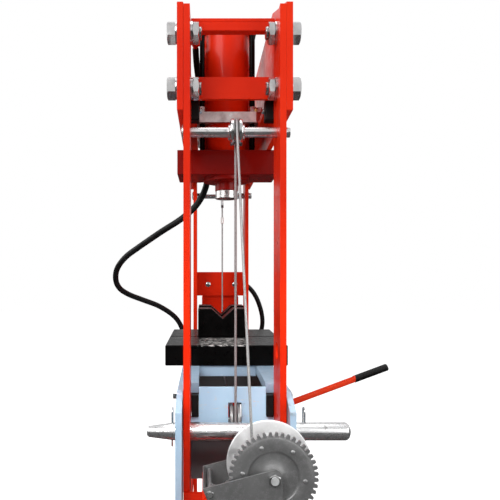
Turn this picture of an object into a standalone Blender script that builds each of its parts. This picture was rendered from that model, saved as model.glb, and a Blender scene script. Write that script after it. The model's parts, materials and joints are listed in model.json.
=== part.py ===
"""Hydraulic shop press: two columns of flat bars, a bolted crosshead with a sideways-moving
cylinder, a winch-lifted bed on two pins, and a hand pump on the right column.

Metres, +Z up.  X runs along the bed and -Y is the front.  Sizes and places below are taken from
the floor midway between the columns; the last step moves everything so that the origin is on the
floor under the middle of the left column's foot.
"""
from math import atan2, cos, pi, radians, sin, sqrt, tan

import bmesh
import bpy
from mathutils import Matrix, Vector

# ---- driving dimensions -----------------------------------------------------------------
GAP = 0.0003                # left between faces that touch
WELD = 0.001                # how far a welded piece reaches into its neighbour

COLUMN_X = 0.502            # column centre from the middle of the press
BAR_WIDTH = 0.108           # column flat bar, along X
BAR_THICK = 0.014           # column flat bar, along Y
COLUMN_DEPTH = 0.224        # outside of the front bar to outside of the back bar
COLUMN_TOP = 1.734
PIN_PITCH = 0.183
HOLES_BELOW = 3             # pin holes under the one in use
HOLES_ABOVE = 1
TOP_SPACER = (-0.030, 1.7235, 0.023, 0.020)     # outer end from the column, height, length, depth
MIDDLE_SPACER = (-0.030, 1.5795, 0.012, 0.051)
FOOT_SPACER = (0.006, 0.130, 0.012, 0.140)

FOOT_LENGTH = 0.720
FOOT_WIDTH = 0.150
FOOT_THICK = 0.012
GUSSET_HEIGHT = 0.200
GUSSET_LENGTH = 0.200
GUSSET_THICK = 0.012
GUSSET_TOE = 0.025
GUSSET_NECK = 0.020
ANCHOR_RADIUS = 0.009
ANCHOR_SPREAD = 0.045       # anchor holes either side of the foot's middle
ANCHOR_INSET = 0.030
TIE_BOTTOM = 0.282
TIE_HEIGHT = 0.100
TIE_THICK = 0.012
TIE_END_GAP = 0.008

BEAM_THICK = 0.014
BEAM_BOTTOM = 1.503
BEAM_END_TOP = 1.738
BEAM_TOP = 1.830
BEAM_SLOPE_RUN = 0.243
RAIL_TOP = 1.5807           # inner rail that the carriage plate rides on
RAIL_HEIGHT = 0.015
RAIL_WIDTH = 0.025
RAIL_END_GAP = 0.008

BOLT_RADIUS = 0.015
BOLT_HEIGHTS = (1.693, 1.567)
HEX_FLATS = 0.046
HEAD_THICK = 0.019
NUT_THICK = 0.0165
WASHER_RADIUS = 0.027
WASHER_THICK = 0.005
THREAD_END = 0.004
BOLT_CLEARANCE = 0.001

ROPE_RADIUS = 0.003
ROPE_GAP = 0.001            # between the ends of two stretches of one rope
ROPE_Y = -0.006
AXLE_Z = 1.468
AXLE_RADIUS = 0.0115
AXLE_BACK = 0.118
AXLE_FRONT = 0.128
COLLAR_RADIUS = 0.017
PULLEY_RADIUS = 0.031
PULLEY_WIDTH = 0.028
PULLEY_ROPE_RADIUS = 0.028  # rope centre line on the top pulley
GROOVE_HALF = 0.0036
GROOVE_FLARE = 0.002
ANCHOR_DROP = 0.045         # rope eye below the right axle

WINCH_Y = -0.068            # drum shaft
WINCH_Z = 0.754
WINCH_STANDOFF = 0.017      # column bar to the inner side plate
WINCH_WIDTH = 0.121
WINCH_PLATE = 0.003
WINCH_BASE_HIGH = (0.138, -0.0174)  # base plate's two ends from the drum shaft, Y then Z
WINCH_BASE_LOW = (0.100, -0.104)
WINCH_CORNER_RADIUS = 0.0175
WINCH_LOWER_CORNER = (-0.0155, -0.070)
SHAFT_END = 0.004           # how far the shafts stand out of the inner side plate
BRACKET_BOTTOM = 0.580
BRACKET_TOP = 0.674
BRACKET_THICK = 0.008
BRACKET_INSET = 0.002
BRACKET_PLATE_RUN = (0.017, 0.120)  # from the base plate's upper end, down its slope
DRUM_RADIUS = 0.032
FLANGE_OVER_GEAR = 0.0045   # flange radius beyond the gear's pitch radius
FLANGE_THICK = 0.004
FLANGE_INSET = 0.025        # flange from the inner side plate
SHAFT_RADIUS = 0.008
GEAR_INSET = 0.0105         # gear from the outer side plate
GEAR_THICK = 0.008
GEAR_TEETH = 44
PINION_TEETH = 7
GEAR_PITCH_RADIUS = 0.0855
CRANK_DIRECTION = radians(-33.0)    # from the drum shaft to the crank shaft, in the YZ plane
CRANK_LENGTH = 0.220
CRANK_WIDTH = 0.025
CRANK_THICK = 0.008
GRIP_LENGTH = 0.100
GRIP_RADIUS = 0.016
GRIP_PIN_RADIUS = 0.006
RATCHET_RADIUS = 0.018
RATCHET_TEETH = 12
RATCHET_INSET = 0.034
RATCHET_THICK = 0.007
PAWL_Y = 0.056
PAWL_Z = 0.7275
PAWL_PIN_RADIUS = 0.005
PAWL_HALF = 0.0058
PAWL_NOSE_HALF = 0.003
PAWL_NOSE_DIRECTION = (0.55, 0.83)  # from the crank shaft, Y then Z
ARM_GAP = 0.012             # winch side plate to crank arm

BLOCK_LENGTH = 0.143        # along X
BLOCK_DEPTH = 0.290
BLOCK_HEIGHT = 0.070
CYLINDER_X = -0.107
BARREL_RADIUS = 0.068
BARREL_BORE = 0.050
BARREL_TOP = 1.862
CAP_THICK = 0.018
ROD_RADIUS = 0.0075
ROD_X = 0.052               # tie rods from the cylinder axis
ROD_INSET = 0.0393          # tie rods inside the beams
SLIDE_PLATE_INSET = 0.0103  # slide plate inside the beams, each side
SLIDE_PLATE_LENGTH = 0.156
SLIDE_PLATE_THICK = 0.030
SLIDE_PLATE_CHAMFER = 0.020
COLLET_RADIUS = 0.070       # ring under the block
COLLET_THICK = 0.012
NECK_RADIUS = 0.035
NECK_BOTTOM = 1.394
RAM_RADIUS = 0.0272
RAM_TIP_RADIUS = 0.034
RAM_BOTTOM = 1.371
RAM_TOP = 1.700
PISTON_THICK = 0.040
PORT_Z = 1.842
PORT_RADIUS = 0.010
BARREL_END_THICK = 0.025
CAP_MARGIN_X = 0.014        # head plate beyond the tie rods
CAP_MARGIN_Y = 0.015
COLLAR_THICK = 0.004
LINK_HUB_RADIUS = 0.018     # rope's drop link
LINK_EYE_RADIUS = 0.009
LINK_HALF_THICK = 0.005

BED_TOP = 0.885
BED_BOTTOM = 0.642
BED_OVERHANG = 0.088        # bed side plates beyond the column centre
BED_SIDE_THICK = 0.014
BED_SIDE_GAP = 0.002        # running clearance to the column bars
BED_CHAMFER_RUN = 0.068
BED_CHAMFER_DROP = 0.031
BED_RAIL_DEPTH = 0.034
BED_RAIL_HEIGHT = 0.024
END_PLATE_THICK = 0.012
END_PLATE_TOP = 0.8765
END_SHELF_BOTTOM = 0.775
END_SHELF_THICK = 0.006
END_SHOULDER = 0.808
END_RECESS = 0.0345         # how far the lower plate stands behind the end plate
ROPE_SLOT = (0.1405, 0.0105)    # from the end plate's middle, inwards
CROSSBAR_X = 0.190
CROSSBAR_THICK = 0.012
CROSSBAR_HEIGHT = 0.031
SHEAVE_Z = 0.800
SHEAVE_WIDTH = 0.024
SHEAVE_PIN_RADIUS = 0.004

PIN_Z = 0.789
PIN_RADIUS = 0.020
PIN_CLEARANCE = 0.0005
PIN_BACK = 0.196
PIN_TAPER = 0.064
PIN_FRONT = 0.265
PIN_NOSE = 0.012
CLIP_BACK = 0.1395
CLIP_FRONT = 0.1615
CLIP_WIRE = 0.002

PLATE_LENGTH = 0.207        # press plate, along X
PLATE_FRONT = 0.170
PLATE_BACK = 0.178
PLATE_THICK = 0.058
PLATE_START = -0.205
PLATE_SPACING = 0.215
V_BLOCK_DEPTH = 0.156
V_BLOCK_HEIGHT = 0.090
V_BLOCK_LENGTH = 0.080
V_BLOCK_Y = 0.009
V_BLOCK_STARTS = (-0.020, 0.135)
V_HALF_WIDTH = 0.035
V_DEPTH = 0.032

HOSE_RADIUS = 0.007

MOUNT_PLATE_BOTTOM = 1.051
MOUNT_PLATE_TOP = 1.151
MOUNT_PLATE_THICK = 0.014
TANK_DEPTH = 0.156
TANK_LENGTH = 0.140
TANK_TOP = 1.050
TANK_BOTTOM = 0.620
TANK_BACK_PLATE = 0.008
BACK_PLATE_BOTTOM = 0.900
BACK_PLATE_TOP = 1.140
OUTLET_REACH = 0.030        # hose fitting's elbow back to its stem
PUMP_STANDOFF = 0.080       # pump centre beyond the column bar
PUMP_BLOCK_BOTTOM = 0.500
PUMP_PIVOT_Y = -0.020
PUMP_PIVOT_Z = 0.4638
HANDLE_ANGLE = radians(20.4)
HANDLE_RADIUS = 0.0135
HANDLE_START = 0.092
HANDLE_END = 0.769
HANDLE_GRIP_LENGTH = 0.158
HANDLE_GRIP_RADIUS = 0.0155
SOCKET_RADIUS = 0.019
SOCKET_START = 0.074
SOCKET_END = 0.170
LEVER_HALF_HEIGHT = 0.009
LEVER_HALF_WIDTH = 0.0125
LEVER_FORK = (0.024, 0.067) # slot that the plunger stands in, from the pivot
LEVER_PIN_SLOT = (0.029, 0.056)
LEVER_BOSS_RADIUS = 0.0115
LEVER_PIN_RADIUS = 0.005
EAR_RADIUS = 0.013
EAR_NEAR = 0.014
EAR_FAR = 0.024
PUMP_BLOCK_HALF_X = 0.036
PUMP_BLOCK_HALF_Y = 0.070
PUMP_NOTCH_HALF = 0.021     # room for the lever in the front of the pump block
PUMP_NOTCH_BACK = -0.040
PUMP_NOTCH_TOP = 0.540
PLUNGER_Y = -0.055
PLUNGER_RADIUS = 0.008
PLUNGER_PIN_RADIUS = 0.003
PLUNGER_PIN_DROP = 0.008    # cross pin above the plunger's lower end
PLUNGER_TOP = 0.585
PLUNGER_BORE_TOP = 0.612
VALVE_STEM_RADIUS = 0.005
VALVE_Z = 0.575

# ---- places that follow from them -------------------------------------------------------
BAR_OUT = COLUMN_DEPTH / 2
BAR_IN = BAR_OUT - BAR_THICK
BAR_INNER_X = COLUMN_X - BAR_WIDTH / 2
BAR_OUTER_X = COLUMN_X + BAR_WIDTH / 2
BEAM_IN = BAR_OUT + GAP
BEAM_OUT = BEAM_IN + BEAM_THICK
BED_IN = BAR_OUT + BED_SIDE_GAP
PIN_HOLE_RADIUS = PIN_RADIUS + PIN_CLEARANCE
SLIDE_PLATE_DEPTH = 2 * (BEAM_IN - SLIDE_PLATE_INSET)
ROD_Y = BEAM_IN - ROD_INSET
BED_HALF = COLUMN_X + BED_OVERHANG
BED_OUT = BED_IN + BED_SIDE_THICK
WINCH_INNER_X = -(BAR_OUTER_X + WINCH_STANDOFF)
WINCH_OUTER_X = WINCH_INNER_X - WINCH_WIDTH
GEAR_X = WINCH_OUTER_X + GEAR_INSET
RATCHET_X = WINCH_OUTER_X + RATCHET_INSET
FLANGE_X = WINCH_INNER_X - FLANGE_INSET
FLANGE_RADIUS = GEAR_PITCH_RADIUS + FLANGE_OVER_GEAR
PUMP_X = BAR_OUTER_X + PUMP_STANDOFF
FALL_X = COLUMN_X - PULLEY_ROPE_RADIUS
END_X = BAR_INNER_X - 0.0015 - END_PLATE_THICK / 2
SHEAVE_ROPE_RADIUS = FALL_X - END_X
SHEAVE_RADIUS = SHEAVE_ROPE_RADIUS + 0.003
BLOCK_TOP = BEAM_BOTTOM - GAP
BLOCK_BOTTOM = BLOCK_TOP - BLOCK_HEIGHT
GEAR_MODULE = 2 * GEAR_PITCH_RADIUS / GEAR_TEETH
PINION_PITCH_RADIUS = PINION_TEETH * GEAR_MODULE / 2
CRANK_Y = WINCH_Y + (GEAR_PITCH_RADIUS + PINION_PITCH_RADIUS) * cos(CRANK_DIRECTION)
CRANK_Z = WINCH_Z + (GEAR_PITCH_RADIUS + PINION_PITCH_RADIUS) * sin(CRANK_DIRECTION)
ROPE_DRUM_X = (GEAR_X + GEAR_THICK + FLANGE_X) / 2
TANK_X = BAR_OUTER_X + GAP + TANK_BACK_PLATE
PLATE_BOTTOM = BED_TOP + GAP
VALVE_X = PUMP_X + 0.022
PLATE_TOP = PLATE_BOTTOM + PLATE_THICK
SIDES = ((-1, "left"), (1, "right"))
FACES = ((-1, "front"), (1, "back"))

RED = ("red_paint", (0.72, 0.035, 0.012), 0.32, 0.0)
DARK_RED = ("dark_red_paint", (0.42, 0.010, 0.008), 0.36, 0.0)
BLUE_GREY = ("blue_grey_paint", (0.42, 0.50, 0.57), 0.45, 0.0)
ZINC = ("zinc_plate", (0.62, 0.63, 0.64), 0.35, 0.9)
STEEL = ("bare_steel", (0.45, 0.44, 0.43), 0.30, 1.0)
BLACK = ("black_oxide", (0.02, 0.02, 0.02), 0.45, 0.4)
RUBBER = ("black_rubber", (0.015, 0.015, 0.015), 0.6, 0.0)
ROPE = ("steel_rope", (0.40, 0.40, 0.40), 0.45, 0.8)


# ---- helpers ----------------------------------------------------------------------------
def material(spec):
    """One Principled material for each finish."""
    name, colour, roughness, metallic = spec
    found = bpy.data.materials.get(name)
    if found:
        return found
    made = bpy.data.materials.new(name)
    made.use_nodes = True
    shader = made.node_tree.nodes["Principled BSDF"]
    shader.inputs["Base Color"].default_value = (*colour, 1.0)
    shader.inputs["Roughness"].default_value = roughness
    shader.inputs["Metallic"].default_value = metallic
    return made


def add_mesh(name, bm, finish, origin=(0.0, 0.0, 0.0)):
    """An object from a bmesh in world space, with its origin at the point given."""
    bmesh.ops.recalc_face_normals(bm, faces=bm.faces)
    bmesh.ops.translate(bm, verts=bm.verts, vec=-Vector(origin))
    mesh = bpy.data.meshes.new(name)
    bm.to_mesh(mesh)
    bm.free()
    mesh.materials.append(material(finish))
    mesh.shade_smooth()
    mesh.set_sharp_from_angle(angle=radians(30))
    made = bpy.data.objects.new(name, mesh)
    made.location = origin
    bpy.context.scene.collection.objects.link(made)
    return made


def helper(made):
    """A cutter, or a shape that a union takes in."""
    made.hide_render = True
    made.display_type = "WIRE"
    return made


def boolean(target, tool, operation):
    step = target.modifiers.new(operation.lower(), "BOOLEAN")
    step.operation = operation
    step.solver = "EXACT"
    step.object = helper(tool)
    return target


def cut(target, *tools):
    for tool in tools:
        boolean(target, tool, "DIFFERENCE")
    return target


def unite(target, *tools):
    for tool in tools:
        boolean(target, tool, "UNION")
    return target


def box(name, low, high, finish, origin=(0.0, 0.0, 0.0), bevel=0.0):
    """A box between two corners, given in any order."""
    bm = bmesh.new()
    bmesh.ops.create_cube(bm, size=1.0)
    size = [abs(h - l) for l, h in zip(low, high)]
    middle = [(l + h) / 2 for l, h in zip(low, high)]
    bmesh.ops.scale(bm, vec=size, verts=bm.verts)
    bmesh.ops.translate(bm, vec=middle, verts=bm.verts)
    if bevel:
        bmesh.ops.bevel(bm, geom=bm.edges[:], offset=bevel, segments=1, affect="EDGES")
    return add_mesh(name, bm, finish, origin)


def frame_of(axis):
    """Two directions across an axis: the outline's first and second coordinate."""
    return {
        "X": (Vector((0, 1, 0)), Vector((0, 0, 1)), Vector((1, 0, 0))),
        "Y": (Vector((1, 0, 0)), Vector((0, 0, 1)), Vector((0, 1, 0))),
        "Z": (Vector((1, 0, 0)), Vector((0, 1, 0)), Vector((0, 0, 1))),
    }[axis]


def prism(name, outline, axis, start, end, finish, origin=(0.0, 0.0, 0.0)):
    """A flat outline pushed along an axis from start to end."""
    across, up, along = frame_of(axis)
    bm = bmesh.new()
    corners = [bm.verts.new(across * a + up * b + along * start) for a, b in outline]
    face = bm.faces.new(corners)
    pushed = bmesh.ops.extrude_face_region(bm, geom=[face])
    moved = [v for v in pushed["geom"] if isinstance(v, bmesh.types.BMVert)]
    bmesh.ops.translate(bm, verts=moved, vec=along * (end - start))
    return add_mesh(name, bm, finish, origin)


def arc(centre, radius, start, end, steps):
    """Points along an arc, angles in degrees."""
    turn = [radians(start + (end - start) * i / steps) for i in range(steps + 1)]
    return [(centre[0] + radius * cos(t), centre[1] + radius * sin(t)) for t in turn]


def circle(centre, radius, steps=16):
    """A full turn of points, with a flat and not a corner on each axis."""
    half = 180 / steps
    return arc(centre, radius, half, 360 + half, steps)[:-1]


def hexagon(centre, flats):
    return circle(centre, flats / sqrt(3), 6)


def rod(name, axis, centre, radius, start, end, finish, origin=(0.0, 0.0, 0.0), steps=16):
    return prism(name, circle(centre, radius, steps), axis, start, end, finish, origin)


def turned(name, axis, centre, profile, finish, origin=(0.0, 0.0, 0.0), steps=16):
    """A closed turned solid; profile is (radius, place along the axis), from end to end."""
    across, up, along = frame_of(axis)
    middle = across * centre[0] + up * centre[1]
    bm = bmesh.new()
    rings = []
    for radius, place in profile:
        ring = [
            bm.verts.new(
                middle + along * place
                + across * (radius * cos(2 * pi * (i + 0.5) / steps))
                + up * (radius * sin(2 * pi * (i + 0.5) / steps))
            )
            for i in range(steps)
        ]
        rings.append(ring)
    for near, far in zip(rings, rings[1:]):
        for i in range(steps):
            j = (i + 1) % steps
            bm.faces.new((near[i], near[j], far[j], far[i]))
    bm.faces.new(rings[0])
    bm.faces.new(rings[-1])
    return add_mesh(name, bm, finish, origin)


def smooth_path(points, count):
    """A Catmull-Rom curve through the points, read at count evenly spaced places."""
    knots = [Vector(p) for p in points]
    knots = [2 * knots[0] - knots[1], *knots, 2 * knots[-1] - knots[-2]]
    fine = []
    for a, b, c, d in zip(knots, knots[1:], knots[2:], knots[3:]):
        for i in range(40):
            t = i / 40
            fine.append(
                0.5 * (2 * b + (c - a) * t + (2 * a - 5 * b + 4 * c - d) * t ** 2
                       + (3 * b - a - 3 * c + d) * t ** 3)
            )
    fine.append(knots[-2])
    lengths = [0.0]
    for a, b in zip(fine, fine[1:]):
        lengths.append(lengths[-1] + (b - a).length)
    even = []
    index = 0
    for k in range(count):
        wanted = lengths[-1] * k / (count - 1)
        while index < len(fine) - 2 and lengths[index + 1] < wanted:
            index += 1
        span = lengths[index + 1] - lengths[index]
        share = (wanted - lengths[index]) / span if span else 0.0
        even.append(fine[index].lerp(fine[index + 1], min(share, 1.0)))
    return even


def tube(name, points, radius, finish, origin=(0.0, 0.0, 0.0), resolution=2):
    """A round tube with closed ends along a polyline."""
    curve = bpy.data.curves.new(name, "CURVE")
    curve.dimensions = "3D"
    curve.bevel_depth = radius
    curve.bevel_resolution = resolution
    curve.use_fill_caps = True
    spline = curve.splines.new("POLY")
    spline.points.add(len(points) - 1)
    for place, point in zip(spline.points, points):
        place.co = (*(Vector(point) - Vector(origin)), 1.0)
    curve.materials.append(material(finish))
    made = bpy.data.objects.new(name, curve)
    made.location = origin
    bpy.context.scene.collection.objects.link(made)
    return made


def teeth_outline(centre, count, pitch_radius, module, turn):
    """A simple toothed wheel's outline, with a tooth centred at the angle turn."""
    outer = pitch_radius + 0.45 * module
    root = pitch_radius - 0.95 * module
    step = 2 * pi / count
    points = []
    for i in range(count):
        for share, radius in ((-0.26, root), (-0.10, outer), (0.10, outer), (0.26, root)):
            angle = turn + (i + share) * step
            points.append((centre[0] + radius * cos(angle), centre[1] + radius * sin(angle)))
    return points


# ---- columns and feet -------------------------------------------------------------------
def pin_heights():
    return [PIN_Z + PIN_PITCH * k for k in range(-HOLES_BELOW, HOLES_ABOVE + 1)]


def column(side, name):
    """Two flat bars joined by welded spacers, with the pin, bolt and axle holes through both."""
    x_out = side * BAR_OUTER_X
    x_in = side * BAR_INNER_X
    bottom = FOOT_THICK + GAP
    made = box(f"{name}_column", (x_out, -BAR_OUT, bottom), (x_in, -BAR_IN, COLUMN_TOP), RED)
    unite(made, box("back_bar", (x_out, BAR_IN, bottom), (x_in, BAR_OUT, COLUMN_TOP), RED))
    reach = BAR_IN + WELD
    for outer, middle, length, height in (TOP_SPACER, MIDDLE_SPACER, FOOT_SPACER):
        start = COLUMN_X + outer
        low = (side * start, -reach, middle - height / 2)
        high = (side * (start - length), reach, middle + height / 2)
        unite(made, box("spacer", low, high, RED))
    for height in pin_heights():
        cut(made, rod("pin_hole", "Y", (side * COLUMN_X, height), PIN_HOLE_RADIUS, -0.2, 0.2, RED))
    for height in BOLT_HEIGHTS:
        radius = BOLT_RADIUS + BOLT_CLEARANCE
        cut(made, rod("bolt_hole", "Y", (side * COLUMN_X, height), radius, -0.2, 0.2, RED))
    radius = AXLE_RADIUS + GAP
    cut(made, rod("axle_hole", "Y", (side * COLUMN_X, AXLE_Z), radius, -0.2, 0.2, RED))
    return made


def pump_mount(made):
    """The plate across the right column that the pump bolts to."""
    reach = BAR_IN + WELD
    x1 = BAR_OUTER_X - GAP
    return unite(made, box("pump_mount", (x1 - MOUNT_PLATE_THICK, -reach, MOUNT_PLATE_BOTTOM),
                           (x1, reach, MOUNT_PLATE_TOP), RED))


def winch_base_line():
    """The winch base plate's two ends in the YZ plane, upper then lower."""
    shaft = Vector((WINCH_Y, WINCH_Z))
    return shaft + Vector(WINCH_BASE_HIGH), shaft + Vector(WINCH_BASE_LOW)


def winch_bracket(made):
    """A back plate on the left column's outer edges, and the tilted plate that holds the winch."""
    x0 = -BAR_OUTER_X
    wide = BAR_OUT - BRACKET_INSET
    unite(made, box("bracket_back", (x0 - BRACKET_THICK, -wide, BRACKET_BOTTOM),
                    (x0 + WELD, wide, BRACKET_TOP), RED))
    high, low = winch_base_line()
    down = (low - high).normalized()
    out = Vector((-down.y, down.x))
    if out.x < 0:
        out = -out
    top = high + down * BRACKET_PLATE_RUN[0] + out * GAP
    end = high + down * BRACKET_PLATE_RUN[1] + out * GAP
    outline = [top, end, end + out * BRACKET_THICK, top + out * BRACKET_THICK]
    plate = prism("bracket_plate", outline, "X", x0 - BRACKET_THICK / 2, WINCH_OUTER_X, RED)
    return unite(made, plate)


def foot(side, name):
    """A floor plate with a gusset in front of and behind the column."""
    x0 = side * COLUMN_X
    made = box(f"{name}_foot", (x0 - FOOT_WIDTH / 2, -FOOT_LENGTH / 2, 0.0),
               (x0 + FOOT_WIDTH / 2, FOOT_LENGTH / 2, FOOT_THICK), RED)
    base = FOOT_THICK - WELD
    start = BAR_OUT + GAP
    for sign, _ in FACES:
        outline = [
            (sign * start, base),
            (sign * (start + GUSSET_LENGTH), base),
            (sign * (start + GUSSET_LENGTH), base + GUSSET_TOE),
            (sign * (start + GUSSET_NECK), base + GUSSET_HEIGHT),
            (sign * start, base + GUSSET_HEIGHT),
        ]
        unite(made, prism("gusset", outline, "X", x0 - GUSSET_THICK / 2, x0 + GUSSET_THICK / 2, RED))
        for shift in (-ANCHOR_SPREAD, ANCHOR_SPREAD):
            place = (x0 + shift, sign * (FOOT_LENGTH / 2 - ANCHOR_INSET))
            cut(made, rod("anchor_hole", "Z", place, ANCHOR_RADIUS, -0.1, 0.1, RED))
    return made


def tie_bar(sign, name):
    """A flat bar across the outside of both columns, near the floor."""
    y0 = sign * (BAR_OUT + GAP)
    half = BAR_OUTER_X - TIE_END_GAP
    return box(f"{name}_tie_bar", (-half, y0, TIE_BOTTOM),
               (half, y0 + sign * TIE_THICK, TIE_BOTTOM + TIE_HEIGHT), RED)


# ---- crosshead --------------------------------------------------------------------------
def beam(sign, name):
    """A crosshead side plate with sloping shoulders, and the rail inside it."""
    half = BAR_OUTER_X
    outline = [
        (-half, BEAM_BOTTOM), (half, BEAM_BOTTOM), (half, BEAM_END_TOP),
        (half - BEAM_SLOPE_RUN, BEAM_TOP), (-half + BEAM_SLOPE_RUN, BEAM_TOP), (-half, BEAM_END_TOP),
    ]
    made = prism(f"{name}_beam", outline, "Y", sign * BEAM_IN, sign * BEAM_OUT, RED)
    end = BAR_INNER_X - RAIL_END_GAP
    y_in = sign * (BEAM_IN + WELD - RAIL_WIDTH)
    unite(made, box("rail", (-end, y_in, RAIL_TOP - RAIL_HEIGHT),
                    (end, sign * (BEAM_IN + WELD), RAIL_TOP), RED))
    for side, _ in SIDES:
        for height in BOLT_HEIGHTS:
            radius = BOLT_RADIUS + BOLT_CLEARANCE
            cut(made, rod("bolt_hole", "Y", (side * COLUMN_X, height), radius, -0.2, 0.2, RED))
    return made


def beam_bolt(side, sign, height, name):
    """A hexagon bolt through a beam and a bar, with its washers and nut run up tight."""
    centre = (side * COLUMN_X, height)
    outside = sign * (BEAM_OUT + GAP)
    inside = sign * (BAR_IN - GAP)
    head = outside + sign * WASHER_THICK
    nut = inside - sign * WASHER_THICK
    tip = nut - sign * (NUT_THICK - THREAD_END)
    made = rod(name, "Y", centre, BOLT_RADIUS, tip - sign * THREAD_END * 2, head + sign * WELD, ZINC)
    unite(made, rod("washer", "Y", centre, WASHER_RADIUS, outside, head, ZINC))
    unite(made, prism("head", hexagon(centre, HEX_FLATS), "Y", head - sign * WELD / 4,
                      head + sign * HEAD_THICK, ZINC))
    unite(made, rod("inner_washer", "Y", centre, WASHER_RADIUS * 0.93, inside, nut, ZINC))
    unite(made, prism("nut", hexagon(centre, HEX_FLATS), "Y", nut + sign * WELD / 4,
                      nut - sign * (NUT_THICK - WASHER_THICK), ZINC))
    return made


# ---- rope, pulleys and sheaves ----------------------------------------------------------
def axle(side, name):
    """A round bar through both bars of a column, with a collar outside each."""
    x0 = side * COLUMN_X
    out = BAR_OUT + GAP
    profile = [
        (AXLE_RADIUS, -AXLE_FRONT), (AXLE_RADIUS, -out - COLLAR_THICK),
        (COLLAR_RADIUS, -out - COLLAR_THICK), (COLLAR_RADIUS, -out), (AXLE_RADIUS, -out),
        (AXLE_RADIUS, out), (COLLAR_RADIUS, out), (COLLAR_RADIUS, out + COLLAR_THICK),
        (AXLE_RADIUS, out + COLLAR_THICK), (AXLE_RADIUS, AXLE_BACK),
    ]
    return turned(name, "Y", (x0, AXLE_Z), profile, ZINC)


def left_axle():
    """The pulley's axle, with a collar on each side of the pulley."""
    made = axle(-1, "left_pulley_axle")
    half = PULLEY_WIDTH / 2 + GAP
    for start in (ROPE_Y - half - COLLAR_THICK, ROPE_Y + half):
        unite(made, rod("collar", "Y", (-COLUMN_X, AXLE_Z), COLLAR_RADIUS, start, start + COLLAR_THICK, ZINC))
    return made


def right_anchor():
    """The right axle, with the drop link that holds the rope's fixed end."""
    made = axle(1, "right_rope_anchor")
    eye = (FALL_X, AXLE_Z - ANCHOR_DROP)
    hub = (COLUMN_X, AXLE_Z)
    away = atan2(hub[1] - eye[1], hub[0] - eye[0])
    turn = away * 180 / pi
    outline = arc(hub, LINK_HUB_RADIUS, turn - 90, turn + 90, 10)
    outline += arc(eye, LINK_EYE_RADIUS, turn + 90, turn + 270, 8)
    link = prism("drop_link", outline, "Y", ROPE_Y - LINK_HALF_THICK, ROPE_Y + LINK_HALF_THICK, ZINC)
    unite(made, link)
    return made


def grooved_wheel(name, centre, outer, rope_radius, width, bore, finish):
    """A rope pulley with a groove and a bore."""
    floor = rope_radius - ROPE_RADIUS - 0.0005
    half = width / 2
    profile = [
        (outer, ROPE_Y - half), (outer, ROPE_Y - GROOVE_HALF - GROOVE_FLARE),
        (floor + GROOVE_FLARE, ROPE_Y - GROOVE_HALF), (floor, ROPE_Y - GROOVE_HALF * 0.6),
        (floor, ROPE_Y + GROOVE_HALF * 0.6), (floor + GROOVE_FLARE, ROPE_Y + GROOVE_HALF),
        (outer, ROPE_Y + GROOVE_HALF + GROOVE_FLARE), (outer, ROPE_Y + half),
    ]
    origin = (centre[0], ROPE_Y, centre[1])
    made = turned(name, "Y", centre, profile, finish, origin)
    return cut(made, rod("bore", "Y", centre, bore, -0.2, 0.2, finish))


def winch_rope():
    """The rope from the drum up to the top pulley and over it."""
    start = (ROPE_DRUM_X, WINCH_Y + DRUM_RADIUS + ROPE_RADIUS + 0.0005, WINCH_Z)
    points = [Vector(start)]
    points += [Vector((x, ROPE_Y, z)) for x, z in arc((-COLUMN_X, AXLE_Z), PULLEY_ROPE_RADIUS, 180, 0, 12)]
    return tube("winch_rope", points, ROPE_RADIUS, ROPE)


def rope_fall(side, name, top):
    """One straight fall of rope from the crosshead to the bed's sheave."""
    points = [(side * FALL_X, ROPE_Y, top), (side * FALL_X, ROPE_Y, SHEAVE_Z + ROPE_GAP)]
    return tube(name, points, ROPE_RADIUS, ROPE)


def bed_rope():
    """The rope under both bed sheaves and along the inside of the bed."""
    left = arc((-END_X, SHEAVE_Z), SHEAVE_ROPE_RADIUS, 180, 270, 6)
    right = arc((END_X, SHEAVE_Z), SHEAVE_ROPE_RADIUS, 270, 360, 6)
    points = [(x, ROPE_Y, z) for x, z in left + right]
    return tube("bed_rope", points, ROPE_RADIUS, ROPE)


# ---- winch ------------------------------------------------------------------------------
def winch_frame():
    """Two side plates on a base plate, with the holes for the three shafts."""
    high, low = winch_base_line()
    shaft = Vector((WINCH_Y, WINCH_Z))
    corner = arc((shaft.x + 0.002, shaft.y + 0.0025), WINCH_CORNER_RADIUS, 180, 106, 5)
    outline = [tuple(high), tuple(low), tuple(shaft + Vector(WINCH_LOWER_CORNER)), *corner]
    made = prism("winch_frame", outline, "X", WINCH_OUTER_X, WINCH_OUTER_X + WINCH_PLATE, ZINC)
    unite(made, prism("inner_side", outline, "X", WINCH_INNER_X - WINCH_PLATE, WINCH_INNER_X, ZINC))
    into = Vector((high.y - low.y, low.x - high.x)).normalized()
    if into.x > 0:
        into = -into
    base = [high, low, low + into * WINCH_PLATE, high + into * WINCH_PLATE]
    unite(made, prism("base", base, "X", WINCH_OUTER_X + WELD / 2, WINCH_INNER_X - WELD / 2, ZINC))
    for centre, radius in (
        ((WINCH_Y, WINCH_Z), SHAFT_RADIUS), ((CRANK_Y, CRANK_Z), SHAFT_RADIUS),
        ((PAWL_Y, PAWL_Z), PAWL_PIN_RADIUS),
    ):
        cut(made, rod("shaft_hole", "X", centre, radius + GAP,
                      WINCH_OUTER_X - 0.1, WINCH_INNER_X + 0.1, ZINC))
    return made


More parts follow.
